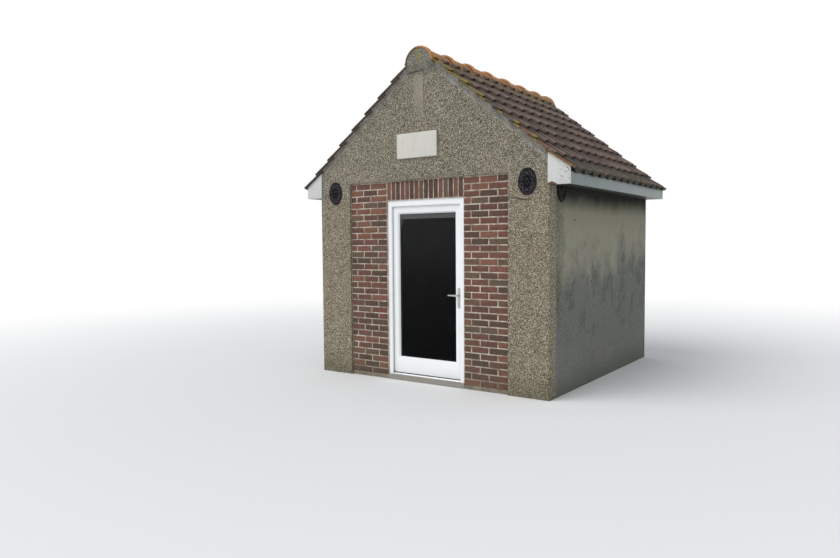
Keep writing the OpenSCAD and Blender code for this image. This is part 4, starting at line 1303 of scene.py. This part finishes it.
# Inset from the outline, and how far the seal stands in front of the glass or of the leaf
glass_seal = [(0.014, 0.0004), (0.0235, 0.0004), (0.0225, 0.004), (0.018, 0.0055)]
glass_seal = [(inset, GLASS_FACE - proud) for inset, proud in glass_seal]
piece("glass_seal", *loop_strip(GLASS_X, GLASS_LOW, GLASS_HIGH, glass_seal), rubber_finish, "white_plastic",
      body="door")
frame_seal = [(-0.010, 0.0050), (-0.0015, 0.0050), (-0.0005, 0.0012), (-0.008, 0.0008)]
frame_seal = [(inset, LEAF_FACE - proud) for inset, proud in frame_seal]
piece("frame_seal", *loop_strip(STOP_X, STOP_LOW, STOP_HIGH, frame_seal), rubber_finish, "white_plastic")

# %% [markdown]
# ## Glass, metal, concrete and wood
# Seen from outside, glass in front of a dark room is nearly black, and in the photograph it mirrors
# daylight only in a band at its top. Full transmission with a low index keeps it clear, and a coat does
# the mirroring, because the weight of a coat may vary over the pane. The other finishes are two tones of
# one colour with a fine bump.

# %% The last finishes
def plain_paint(name, first, second, scale, roughness, depth=0.001, **constants):
    """Two tones mixed by a cloudy noise, with a bump of a noise fourteen times as fine."""
    p = Paint(name)
    cloud = p.noise(scale, 4.0, 0.6)
    fine = p.noise(scale * 14, 3.0, 0.6)
    return p.close(p.mix(cloud, first, second), roughness + cloud * 0.1, fine, depth=depth, strength=0.4,
                   **constants)


def wood_paint():
    """Rings drawn out along the depth of the building, as on boards that run that way."""
    p = Paint("sawn_softwood")
    rings = p.noise(1.0, 4.0, 0.6, at=p.stretched(60.0, 3.0, 60.0))
    colour = p.mix(rings, tone(170, 134, 92), tone(128, 96, 62))
    return p.close(colour, 0.8, rings, depth=0.001, strength=0.4)


def glass_paint():
    """Glass over a dark room; the coat mirrors daylight in a band at its top, and little below."""
    p = Paint("dark_double_glazing")
    film = p.noise(2.0, 3.0, 0.5)
    top = GLASS_TOP - p.z
    wedge = (p.x + GLASS_X + top * 0.42).fade(0.115, 0.100) * 0.45
    shine = (top.fade(0.078, 0.072) * 0.95).most(wedge).most(top.fade(1.1, 0.1) * 0.12)
    return p.close(p.mix(film, tone(120, 130, 130), tone(104, 114, 114)), 0.02 + film * 0.02, IOR=1.16,
                   Transmission_Weight=1.0, Coat_Weight=shine, Coat_Roughness=0.03, Coat_IOR=1.75)


concrete = plain_paint("grey_concrete", tone(158, 154, 144), tone(136, 132, 124), 5.0, 0.85, 0.002)
metal = plain_paint("satin_metal", tone(196, 198, 198), tone(176, 178, 178), 20.0, 0.28, 0.0003,
                    Metallic=1.0)
dress(concrete, "floor_slab", "door_step")
dress(wood_paint(), "wall_plate_left", "wall_plate_right", "rafters", "ridge_board", "roof_boards_left",
      "roof_boards_right", "tile_battens")
dress(glass_paint(), "door_glass")
dress(metal, "door_threshold", "handle_outside", "handle_inside")
dress(door_white, "hinge_frame_side", "hinge_door_side")

# %% [markdown]
# The picture shows colours as they are written, so the view is Standard. The finished building may not
# be larger than the frame.

# %% View
bpy.context.scene.view_settings.view_transform = "Standard"
